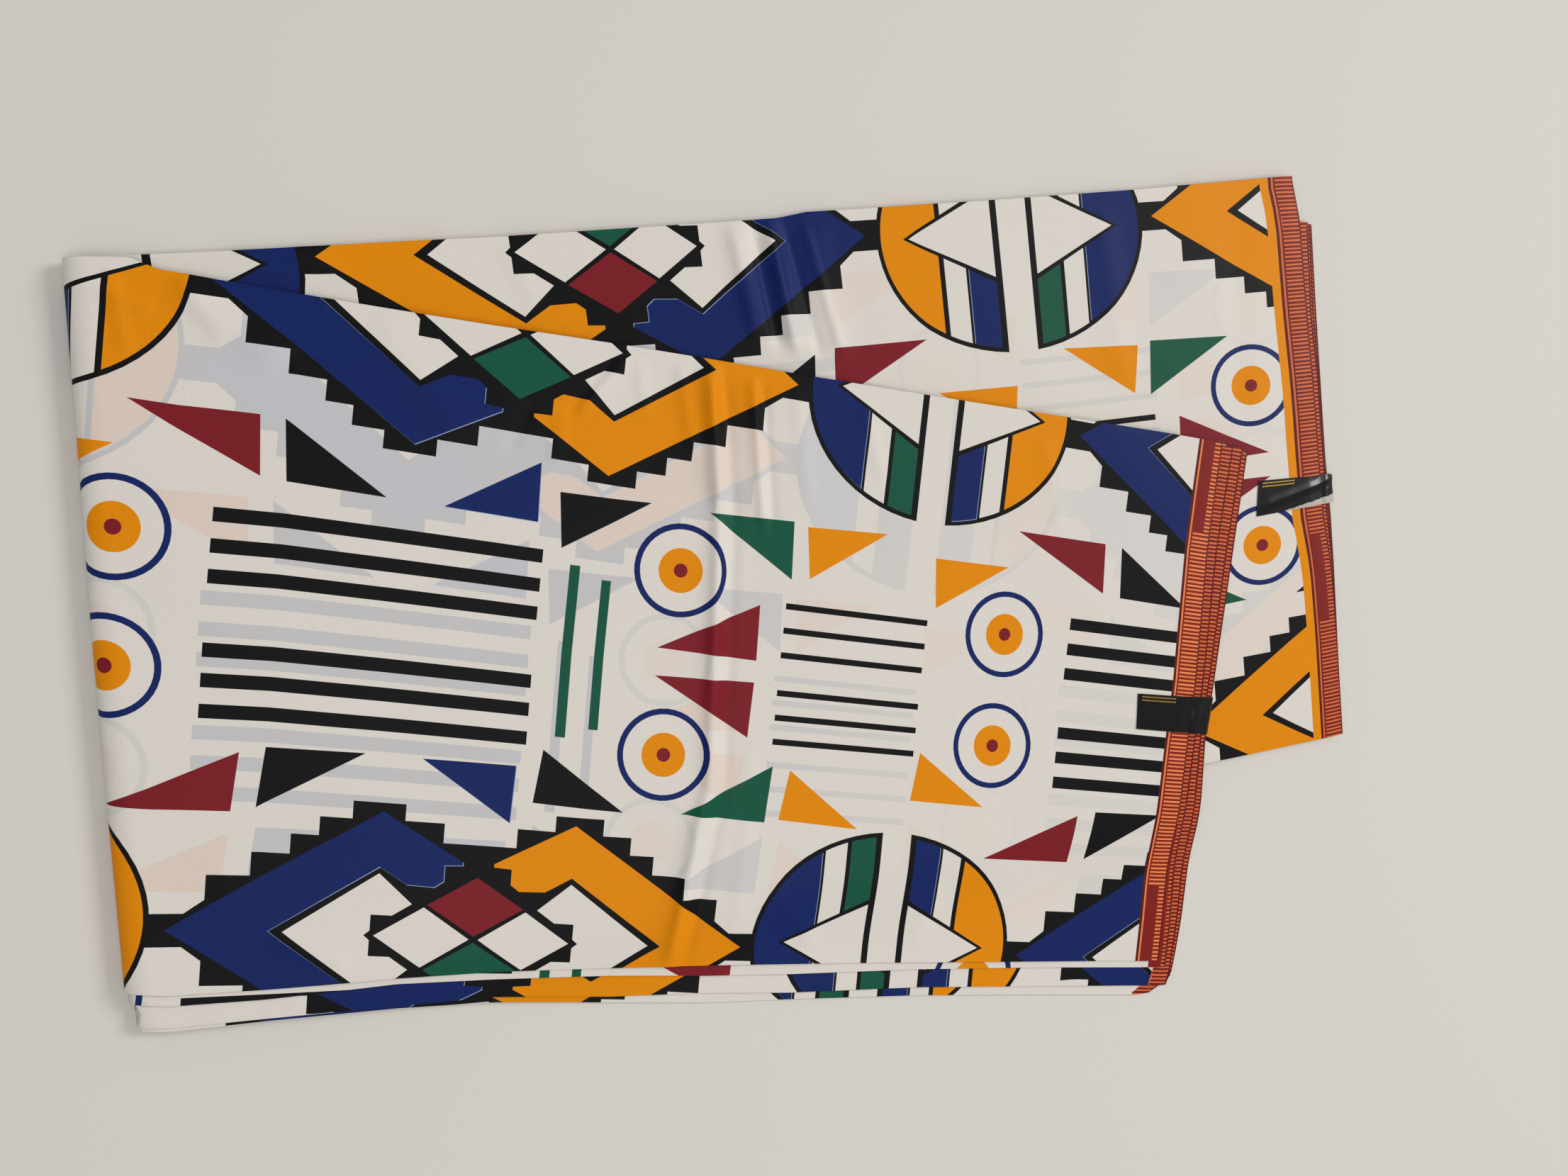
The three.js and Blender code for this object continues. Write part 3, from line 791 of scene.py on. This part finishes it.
def border_shapes(lay, surface, v0, v1, plain=(), inner_band=0, under=False):
    """The woven border at a free end: fine cross lines, then lines along it, with a painted shadow along
    the cut end.
    """
    # Darker border colours are painted shade, for plies under the top ply and for the lower half.
    shaded = under or lay.sense < 0
    orange, red = ("under_orange", "under_red") if shaded else ("border_orange", "border_red")
    ys = np.linspace(-300, 300, 601)
    end_w, end_v = lay.cloth(surface.end(ys), ys)
    order = np.argsort(end_v)
    shapes = []

    def band(colour, outer, inner, stops):
        """A band between two distances from the free end, in straight pieces."""
        ends = np.interp(stops, end_v[order], end_w[order])
        for w0, w1, t0, t1 in zip(ends, ends[1:], stops, stops[1:]):
            corners = ((w0, outer, t0), (w0, inner, t0), (w1, inner, t1), (w1, outer, t1))
            shapes.append((colour, [(float(w - lay.sense * off), float(t)) for w, off, t in corners]))

    stops = v0 + BORDER_PIECE * np.arange(int((v1 - v0) / BORDER_PIECE) + 2)
    band(orange, OVER_END, BORDER, stops)
    if not under:
        band(red, BORDER, 12.6, stops)
        band(orange, 12.6, 13.6, stops)
        band("border_dark", 13.6, 15.2, stops)
        if inner_band:
            band("ochre", 15.2, 15.2 + inner_band, stops)
    for k in range(int((v1 - v0) / HATCH_PITCH)):
        start = v0 + HATCH_PITCH * k
        band(red, OVER_END, BORDER, (start, start + HATCH_PITCH * (0.56 + 0.06 * math.sin(k * 1.7))))
    # Dark line along the cut end of each ply: a painted shadow of its edge.
    band("border_dark", OVER_END, 0.7, stops)
    for t0, t1 in plain:
        pieces = max(1, int((t1 - t0) / BORDER_PIECE))
        band("border_plain", 3.4 if under else 4.6, BORDER, np.linspace(t0, t1, pieces + 1))
    return shapes


# ---- stacked edges of the hidden plies ----
STACKED_PLIES = 3
STACKED_HEIGHT = LAYER - 0.5
EDGE_INSET = 0.1
EDGE_PROFILE = ((-0.5, 1.0), (-0.08, 0.86), (0.0, 0.5), (-0.08, 0.14), (-0.5, 0.0))  # out, height


def edge_path(surface, left, step=4.0):
    """Points round the free sides of a bundle, their outward directions, and which are at its end."""
    _, ys = free_end(surface, np.linspace(-260, 260, 1041))
    path = []
    for side, y in ((surface.low_edge, ys[0]), (surface.high_edge, ys[-1])):
        start = max(left, float(spine_x(side(left))) + SPINE_DEPTH)
        xs = np.arange(start, float(surface.end(y)), step)
        path.append(pairs(xs, side(xs)))
    end_ys = np.arange(ys[0], ys[-1], step)
    path = np.array(path[0] + pairs(surface.end(end_ys), end_ys) + path[1][::-1])
    from_end = surface.end(path[:, 1]) - path[:, 0]
    at_end = (from_end < 16) & (path[:, 1] >= ys[0] - 1) & (path[:, 1] <= ys[-1] + 1)
    along = np.gradient(path, axis=0)
    away = unit(np.stack([along[:, 1], -along[:, 0]], 1))
    return path - away * EDGE_INSET, away, at_end


def stacked_edges(builder, surface, left, base, seed):
    """The rounded edges of a few plies, one over the other, each a little out of line."""
    path, away, at_end = edge_path(surface, left)
    run = run_along(path)
    bottom = base(path[:, 0], path[:, 1])
    rings, normals = [], []
    for ply in range(STACKED_PLIES):
        shift = -0.25 - 0.28 * np.sin(run / (17 + 5 * ply) + seed * 1.9 + ply * 2.1) ** 2
        shift = shift - 0.2 * ((ply * 7 + seed * 3) % 5) / 4
        for out, level in EDGE_PROFILE:
            z = bottom + STACKED_HEIGHT * (1 - (ply + 1 - level) / STACKED_PLIES)
            spot = path + away * (shift + out * 0.6)[:, None]
            rings.append(np.column_stack([spot + SHIFT, z]))
            normals.append(np.column_stack([away, np.full(len(path), (level - 0.5) * 1.8)]))
    points = np.concatenate(rings)
    faces = grid_faces(len(rings), len(path))
    uv = np.column_stack([np.tile(run, len(rings)), points[:, 2]])
    # Stacked edges at the free end take the dark border red: painted shade between the plies' cut ends.
    paints = np.where(at_end[faces[:, 0] % len(path)], "border_dark", "edges")
    builder.add(points, unit(np.concatenate(normals)), faces, paints, uv)


# ---- materials ----
WHITE = (219, 213, 205)
# How strongly the print under the top ply shows through: along the cloth in metres, strength.
SHOW_THROUGH = ((-0.65, 0.5), (-0.05, 0.6), (0.0, 1.0), (0.22, 1.0), (0.4, 0.45), (0.6, 0.3))
# Runs of colour along the stacked edges: where each starts in the ramp, and its colour.
EDGE_RUNS = (
    (0.0, (176, 172, 166)), (0.5, (58, 58, 62)), (0.64, (178, 174, 168)), (0.76, (48, 62, 110)),
    (0.84, (186, 138, 60)), (0.9, (150, 146, 140)),
)
# Printed cottons: the material's name, its dye, the flecks in the dye, and how much they show.
COTTONS = {
    "white": ("ground_white", WHITE, (206, 201, 195), 0.5),
    "black": ("print_black", (7, 7, 8), (20, 21, 23), 0.3),
    "blue": ("print_blue", (4, 28, 90), (28, 50, 110), 0.3),
    "ochre": ("print_ochre", (224, 138, 0), (206, 114, 0), 0.4),
    "halo": ("pale_line", (128, 150, 190), (165, 182, 206), 0.6),
    "maroon": ("print_maroon", (124, 20, 32), (100, 14, 26), 0.4),
    "green": ("print_green", (0, 78, 55), (24, 100, 78), 0.3),
    "ghost_grey": ("ghost_grey", (194, 193, 193), (186, 186, 188), 0.5),
    "ghost_blue": ("ghost_blue", (193, 194, 199), (184, 186, 193), 0.5),
    "ghost_warm": ("ghost_warm", (219, 203, 191), (208, 192, 182), 0.5),
    "ghost_faint": ("ghost_faint", (207, 204, 200), (200, 197, 194), 0.5),
    "ghost_blush": ("ghost_blush", (219, 208, 199), (208, 197, 189), 0.5),
    "border_orange": ("border_orange", (232, 136, 78), (214, 112, 56), 0.6),
    "border_red": ("border_red", (132, 28, 14), (112, 20, 10), 0.6),
    # Darker copies of the border orange and red: painted shade for the plies that lie lower.
    "under_orange": ("under_orange", (214, 106, 58), (192, 86, 40), 0.6),
    "under_red": ("under_red", (112, 18, 10), (92, 12, 8), 0.6),
    # Dark red of the border's inner stripe, also used as a painted shadow along the plies' cut ends.
    "border_dark": ("border_dark", (92, 12, 10), (74, 8, 8), 0.6),
    "border_plain": ("border_plain", (128, 24, 18), (108, 18, 14), 0.6),
}
GLOSS = {"black": 0.12, "blue": 0.14, "ochre": 0.1}  # the others have USUAL_GLOSS
USUAL_GLOSS = 0.16


def srgb(red, green, blue):
    def linear(c):
        c /= 255
        return c / 12.92 if c <= 0.04045 else ((c + 0.055) / 1.055) ** 2.4

    return (linear(red), linear(green), linear(blue), 1.0)


def set_inputs(made, inputs):
    for name, value in inputs.items():
        made.inputs[name.replace("_", " ")].default_value = value


def node(tree, kind, **inputs):
    made = tree.nodes.new(kind)
    set_inputs(made, inputs)
    return made


def new_material(name, **inputs):
    """A material, its node tree, and its shader with these inputs."""
    material = bpy.data.materials.new(name)
    material.use_nodes = True
    tree = material.node_tree
    shader = tree.nodes["Principled BSDF"]
    set_inputs(shader, inputs)
    return material, tree, shader


def cloth_uv(tree):
    """Where a point lies on the cloth, in metres."""
    place = tree.nodes.new("ShaderNodeUVMap")
    place.uv_map = "cloth"
    return place.outputs["UV"]


def colour_ramp(tree, stops):
    ramp = tree.nodes.new("ShaderNodeValToRGB")
    elements = ramp.color_ramp.elements
    while len(elements) < len(stops):
        elements.new(0.5)
    for element, (position, colour) in zip(elements, stops):
        element.position = position
        element.color = colour
    return ramp


def cotton(name, dye, fleck, amount, gloss, fades):
    """Printed cotton: uneven dye, a fine plain weave, and a little glaze."""
    material, tree, shader = new_material(
        name, Roughness=0.52, Sheen_Weight=0.01, Sheen_Roughness=0.5, Specular_IOR_Level=gloss
    )
    place = cloth_uv(tree)
    dye, fleck = srgb(*dye), srgb(*fleck)
    flecked = [c + (f - c) * amount for c, f in zip(dye, fleck)]
    noise = node(tree, "ShaderNodeTexNoise", Scale=900.0, Detail=4.0, Roughness=0.6)
    tree.links.new(place, noise.inputs["Vector"])
    ramp = colour_ramp(tree, ((0.36, dye), (0.7, flecked)))
    tree.links.new(noise.outputs["Fac"], ramp.inputs["Fac"])
    printed = ramp.outputs["Color"]
    tree.links.new(faded(tree, place, printed) if fades else printed, shader.inputs["Base Color"])
    weave = node(
        tree, "ShaderNodeTexBrick", Scale=1.0, Color1=(1, 1, 1, 1), Color2=(0.7, 0.7, 0.7, 1),
        Mortar=(0, 0, 0, 1), Mortar_Size=0.00007, Brick_Width=0.0007, Row_Height=0.00035,
    )
    tree.links.new(place, weave.inputs["Vector"])
    bump = node(tree, "ShaderNodeBump", Strength=0.12, Distance=0.00008)
    tree.links.new(weave.outputs["Color"], bump.inputs["Height"])
    tree.links.new(bump.outputs["Normal"], shader.inputs["Normal"])
    return material


def faded(tree, place, colour):
    """Mixes a show-through colour with the white ground, by the distance along the cloth."""
    split = node(tree, "ShaderNodeSeparateXYZ")
    tree.links.new(place, split.inputs["Vector"])
    first, last = SHOW_THROUGH[0][0], SHOW_THROUGH[-1][0]
    share = node(tree, "ShaderNodeMapRange", From_Min=first, From_Max=last)
    tree.links.new(split.outputs["X"], share.inputs["Value"])
    strength = colour_ramp(tree, [
        ((along - first) / (last - first), (amount, amount, amount, 1))
        for along, amount in SHOW_THROUGH
    ])
    tree.links.new(share.outputs["Result"], strength.inputs["Fac"])
    mix = tree.nodes.new("ShaderNodeMix")
    mix.data_type = "RGBA"
    mix.inputs["A"].default_value = srgb(*WHITE)
    tree.links.new(strength.outputs["Color"], mix.inputs["Factor"])
    tree.links.new(colour, mix.inputs["B"])
    return mix.outputs["Result"]


def stacked_cotton(name):
    """Fold edges seen end on: pale cloth with short runs of print colour."""
    material, tree, shader = new_material(name, Roughness=0.75)
    scale = node(tree, "ShaderNodeMapping", Scale=(55.0, 2300.0, 1.0))
    tree.links.new(cloth_uv(tree), scale.inputs["Vector"])
    cells = node(tree, "ShaderNodeTexVoronoi", Scale=1.0)
    tree.links.new(scale.outputs["Vector"], cells.inputs["Vector"])
    pick = node(tree, "ShaderNodeSeparateColor")
    tree.links.new(cells.outputs["Color"], pick.inputs["Color"])
    ramp = colour_ramp(tree, [(start, srgb(*colour)) for start, colour in EDGE_RUNS])
    ramp.color_ramp.interpolation = "CONSTANT"
    tree.links.new(pick.outputs["Red"], ramp.inputs["Fac"])
    tree.links.new(ramp.outputs["Color"], shader.inputs["Base Color"])
    return material


def foil(name, colour, roughness, metallic=0.0):
    return new_material(
        name, Base_Color=srgb(*colour), Roughness=roughness, Metallic=metallic, Specular_IOR_Level=0.3
    )[0]


PAINTS = {
    paint: cotton(*look, GLOSS.get(paint, USUAL_GLOSS), fades=paint.startswith("ghost_"))
    for paint, look in COTTONS.items()
}
PAINTS["edges"] = stacked_cotton("stacked_fold_edges")
PAINTS["foil"] = foil("black_foil", (6, 6, 7), 0.22)
PAINTS["foil_back"] = foil("foil_back", (176, 170, 158), 0.4)
PAINTS["gold"] = foil("gold_rule", (190, 150, 70), 0.35, 0.8)


# ---- the top plies ----
TOP_RADIUS = 0.5
TUCKED = 5  # how far a top ply goes on under its folds
TOP_GRID = 5.0

upper_ply = Surface(
    upper_level,
    edge(UPPER_SECTIONS, "ply"),
    edge(UPPER_SECTIONS, "top"),
    edge(UPPER_ENDS, "ply", key="y"),
    TOP_RADIUS,
    (SPINE_DEPTH + GAP, SPINE_HEIGHT / 2),
)
lower_ply = Surface(
    lower_level,
    edge(LOWER_SECTIONS, "bottom"),
    edge(LOWER_SECTIONS, "ply_top"),
    edge(LOWER_ENDS, "ply", key="y"),
    TOP_RADIUS,
)


def box_of(lay, outline):
    """The cloth coordinates that an outline spans."""
    w, v = lay.cloth(*np.array(outline).T)
    return float(w.min()), float(v.min()), float(w.max()), float(v.max())


def top_ply(name, surface, lay, creases, left, plain, inner_band=0):
    outline = outline_of(surface, left, TOP_RADIUS * (math.pi - 1) + TUCKED)
    box = box_of(lay, outline)
    shapes = print_on(box) + border_shapes(lay, surface, box[1], box[3], plain, inner_band)
    lines = fold_lines(surface, outline) + (spine_lines(surface) if surface.wrap else [])
    builder = MeshBuilder()
    patch(builder, surface, lay, outline, shapes, TOP_GRID, lines + crease_lines(creases))
    return builder.object(name)


upper_cloth = top_ply(
    "upper_top_cloth", upper_ply, UPPER_LAY, UPPER_CREASES, -352.0, ((100, 160), (-165, -96))
)
lower_cloth = top_ply(
    "lower_top_cloth", lower_ply, LOWER_LAY, LOWER_CREASES, -312.0, ((42, 92),), 4.5
)


# ---- the hidden plies ----
# Three bundles a half, each with its own rim of cloth and its stacked edges.
HIDDEN = ("second", "third", "fourth")
RIM_RADIUS = 0.32
RIM_MARGIN = 1.6
RIM_GRID = 6.0

# How the print of each visible strip lies: how far it slides across, then its drift along the strip.
UPPER_STRIPS = (
    UPPER_LAY.slid(135.0, table(
        "w along across", (0, 0, -6.5), (47, 0, -6.5), (142, 1.5, 0.5), (263, 3, 0), (340, 4, 3.5),
        (424, 5, 9), (466, 7, 15), (560, 8, 17),
    )),
    UPPER_LAY.slid(266.0, table(
        "w along across", (60, 11, -5), (90, 11, -4), (125, 12, 0), (165, 13, 0), (211, 14, 0),
        (280, 14.5, -2), (310, 15, -3.4), (440, 15, -3.4), (475, 15, 0),
    )),
    UPPER_LAY.slid(263.0, table(
        "w along across", (60, -6.4, -26), (90, -6.4, -23), (150, -6.4, -5), (200, -6.4, 0),
        (600, -6.4, 0),
    )),
)
# Per bundle: edge columns, insets at the far edge, turns round the spine, plans, where print stops
# along the strip, and plain patches on the border. Hole: bands kept at the low, end and high sides.
UPPER_HALF = SimpleNamespace(
    sections=UPPER_SECTIONS, ends=UPPER_ENDS, under=under_upper, lows=HIDDEN, high="top",
    insets=(1.2, 0.5, 1.6), wraps=((10.6, 3.95), (9.9, 2.65), (9.0, 1.35)), lays=UPPER_STRIPS,
    bare_from=(math.inf, math.inf, 440), plain=(((-42, 58),), (), ()), left=-340.0, edges_left=-298.0,
    hole=(18, 22, 6), hatch_shift=0.9, seed=0,
)
LOWER_HALF = SimpleNamespace(
    sections=LOWER_SECTIONS, ends=LOWER_ENDS, under=on_table, lows=("bottom",) * 3, high="layers_top",
    insets=(0, 0.4, 0), wraps=(None,) * 3, lays=[LOWER_LAY.slid(slide) for slide in (37, 74, 111)],
    bare_from=(math.inf,) * 3, plain=((),) * 3, left=-309.0, edges_left=-309.0,
    hole=(6, 22, 30), hatch_shift=0.8, seed=4,
)


def bundle(builder, half, number, ply):
    """The rim of one bundle with its print and border, and its stacked edges."""
    roof = STACK - LAYER * number

    def level(x, y):
        return half.under(x, y) + roof - dip(half.ends, ply, x, y, *RIM_DIP)

    def base(x, y):
        return half.under(x, y) + roof - LAYER

    surface = Surface(
        level,
        edge(half.sections, half.lows[number]),
        edge(half.sections, half.high, -half.insets[number]),
        edge(half.ends, ply, key="y"),
        RIM_RADIUS,
        half.wraps[number],
    )
    lay = half.lays[number]
    outline = outline_of(surface, half.left, RIM_MARGIN)
    box = box_of(lay, outline)
    shapes = [
        (colour, points) for colour, points in print_on(box, ghosts=False)
        if min(w for w, _ in points) < half.bare_from[number]
    ]
    first = box[1] + half.hatch_shift * number
    shapes += border_shapes(lay, surface, first, box[3], half.plain[number], under=True)
    hole = hole_of(surface, half.left, *half.hole)
    patch(builder, surface, lay, outline, shapes, RIM_GRID, fold_lines(surface, outline), hole)
    stacked_edges(builder, surface, half.edges_left, base, half.seed + number)


def fold_edges(name, half):
    builder = MeshBuilder()
    for number, ply in enumerate(HIDDEN):
        bundle(builder, half, number, ply)
    return builder.object(name)


upper_edges = fold_edges("upper_fold_edges", UPPER_HALF)
lower_edges = fold_edges("lower_fold_edges", LOWER_HALF)

# Nested turns of the plies inside the spine: depth under the cloth, and the ends of each turn in y.
SPINE_TURNS = table(
    "depth low high",
    (1.6, -171, 134.8), (2.4, -172.5, 135.4), (3.2, -178.0, 134.2), (4.0, -178.8, 135.0),
    (4.6, -188.0, 133.6),
)


def spine_turns():
    """The plies inside the spine, seen end on."""
    builder = MeshBuilder()
    centre = SPINE_HEIGHT / 2
    for depth, low, high in zip(*SPINE_TURNS.values()):
        ys, angles = np.meshgrid(
            np.linspace(low, high, 60), np.linspace(-math.pi / 2, math.pi / 2, 15), indexing="ij"
        )
        faces = grid_faces(*ys.shape)[:, ::-1]
        ys, angles = ys.ravel(), angles.ravel()
        x = spine_x(ys) + SPINE_DEPTH - 0.1 - (SPINE_DEPTH - 2.1 * depth) * np.cos(angles)
        z = centre + (centre - depth) * np.sin(angles)
        points = np.column_stack([x + SHIFT[0], ys + SHIFT[1], z])
        normals = np.column_stack([-np.cos(angles), 0 * angles, np.sin(angles)])
        builder.add(points, normals, faces, ["edges"] * len(faces), points[:, 1:])
    return builder.object("spine_turns")


spine_cloth = spine_turns()


# ---- labels ----
LABEL_LIFT = 0.4  # of the label's path over the top ply
LABEL_FAN = 3.4  # its height where the fanned ends stop
LABEL_FOOT = 0.5  # its height at the foot of the edge
ON_CLOTH = 0.45  # of the foil over the top ply
ON_BASE = 0.3  # of the foil past the top ply
# Plain gold rules on each label: share across from and to, millimetres along from and to.
GOLD_RULES = ((0.8, 0.84, 2.5, 24), (0.9, 0.93, 2.5, 24))


def crumple(along, up, seed):
    """Small dents in the foil."""
    dents = 0.16 * np.sin(along / 2.7 + 5 * up + seed) * np.sin(along / 5.1 - 7 * up + 2 * seed)
    return dents + 0.08 * np.sin(along / 1.6 - 9 * up + 3 * seed)


def label_paints(along, up, length, curl):
    """Foil, with gold rules, and its back where a corner curls."""
    paints = np.full(len(along), "foil", dtype=object)
    for low, high, start, stop in GOLD_RULES:
        paints[(up > low) & (up < high) & (along > start) & (along < stop)] = "gold"
    if curl:
        paints[up < curl * (along / length - 0.3)] = "foil_back"
    return paints


def label(name, size, ends, middle, reach, under, cloth, top, seed, curl=0.0):
    """A foil label: flat on the cloth, bent down over the fanned ends.

    `reach` is how far its two bends lie past the ends of the top ply and of the last ply.
    """
    ply = float(at(ends, "y", "ply", middle)) + reach[0]
    last = float(at(ends, "y", "fourth", middle)) + reach[1]
    path = np.array([
        (size["left"], top + LABEL_LIFT),
        (ply - 1.0, top + LABEL_LIFT),
        (ply + 1.2, top + LABEL_LIFT - 0.2),
        (last - 0.6, LABEL_FAN),
        (last + 0.9, LABEL_FAN - 1.2),
        (last + 1.3, LABEL_FOOT),
    ])
    run = run_along(path)
    steps = np.unique(np.concatenate([np.linspace(0, run[-1], 44), run]))
    along, up = np.meshgrid(steps, np.linspace(0, 1, 22), indexing="ij")
    share = np.clip(along / run[3], 0, 1)
    low = size["lower"] + (size["turn_lower"] - size["lower"]) * share
    high = size["upper"] + (size["turn_upper"] - size["upper"]) * share
    y = low + (high - low) * up
    bent = smooth((along - run[1] + 6) / 8)
    x = np.interp(along, run, path[:, 0])
    x = x + bent * (at(ends, "y", "fourth", y) - at(ends, "y", "fourth", middle))
    over = np.clip((path[1, 0] - x) / 4 + 1, 0, 1)
    z = (1 - over) * (np.interp(along, run, path[:, 1]) + under(x, y) + ON_BASE)
    z = z + over * (cloth.top(x, y) + ON_CLOTH) + crumple(along, up, seed) * (1 - 0.88 * over)
    ridge = np.exp(-(((up - 0.2 - 0.7 * along / run[-1]) / 0.12) ** 2))
    z = z + curl * ridge * smooth(along / 9)
    points = np.stack([x + SHIFT[0], y + SHIFT[1], z], 2)
    normals = unit(np.cross(np.gradient(points, axis=0), np.gradient(points, axis=1)).reshape(-1, 3))
    faces = grid_faces(*along.shape)
    spots = np.column_stack([along.ravel(), up.ravel()])[faces].mean(1)
    paints = label_paints(spots[:, 0], spots[:, 1], run[-1], curl)
    builder = MeshBuilder()
    uv = np.column_stack([along.ravel(), y.ravel()])
    builder.add(points.reshape(-1, 3), normals, faces, paints, uv)
    return builder.object(name)


upper_label = label(
    "upper_foil_label", UPPER_SEAL, UPPER_ENDS,
    (UPPER_SEAL["turn_upper"] + UPPER_SEAL["turn_lower"]) / 2, (0.6, -1.4),
    under_upper, upper_ply, UPPER_TOP, 0.7,
)
lower_label = label(
    "lower_foil_label", LOWER_SEAL, LOWER_ENDS, LOWER_SEAL["turn_lower"], (0.6, 0.6),
    on_table, lower_ply, HALF, 2.1, 0.45,
)


# ---- what each piece stands for ----
for piece, cad_node, slot in (
    (upper_cloth, "upper_top_ply", "printed_cotton"),
    (lower_cloth, "lower_top_ply", "printed_cotton"),
    (upper_edges, "upper_layers", "hidden_plies"),
    (lower_edges, "lower_layers", "hidden_plies"),
    (spine_cloth, "spine_layers", "hidden_plies"),
    (upper_label, "upper_seal", "foil_label"),
    (lower_label, "lower_seal", "foil_label"),
):
    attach(piece, "root")
    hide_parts(cad_node)


# ---- floor, light and camera ----
FLOOR_REACH = 1.6
CAMERA_LEAN = (16.5, 4.5)  # degrees across and down, fitted to the photo
CAMERA_PLACE = (-0.1795, 0.0447, 0.5563)
CAMERA_LENS = 27.03  # on a sensor 36 mm wide


def floor():
    mesh = bpy.data.meshes.new("floor")
    corners = ((-1, -1), (1, -1), (1, 1), (-1, 1))
    mesh.from_pydata([(x * FLOOR_REACH, y * FLOOR_REACH, 0) for x, y in corners], [], [(0, 1, 2, 3)])
    paper = new_material("floor_paper", Base_Color=srgb(212, 208, 201), Roughness=0.8)[0]
    mesh.materials.append(paper)
    add_object("floor", mesh)


def daylight():
    world = bpy.data.worlds.new("studio")
    bpy.context.scene.world = world
    world.use_nodes = True
    set_inputs(world.node_tree.nodes["Background"], {"Color": (0.97, 0.98, 1.0, 1), "Strength": 0.45})


def lamp(name, place, size, power):
    """A warm rectangular lamp, aimed at the middle of the floor."""
    data = bpy.data.lights.new(name, "AREA")
    data.shape = "RECTANGLE"
    data.size, data.size_y = size
    data.energy = power
    data.color = (1.0, 0.97, 0.93)
    made = add_object(name, data)
    made.location = place
    made.rotation_euler = (-Vector(place)).to_track_quat("-Z", "Y").to_euler()


def photo_camera():
    """The camera of the photo: 0.556 m over the table, leaning a little."""
    across, down = (math.radians(lean) for lean in CAMERA_LEAN)
    right = Vector((math.cos(across), math.sin(down) * math.sin(across), math.cos(down) * math.sin(across)))
    up = Vector((0, math.cos(down), -math.sin(down)))
    turn = Matrix((right, up, right.cross(up))).transposed()
    data = bpy.data.cameras.new("camera")
    data.sensor_width = 36
    data.lens = CAMERA_LENS
    data.clip_start = 0.01
    made = add_object("camera", data)
    made.matrix_world = Matrix.Translation(CAMERA_PLACE) @ turn.to_4x4()
    bpy.context.scene.camera = made


floor()
daylight()
lamp("window", (3.8, 1.6, 3.0), (1.8, 1.6), 132)
lamp("ceiling", (0.1, -0.7, 2.4), (1.0, 1.0), 16)
photo_camera()
bpy.context.scene.view_settings.view_transform = "Standard"
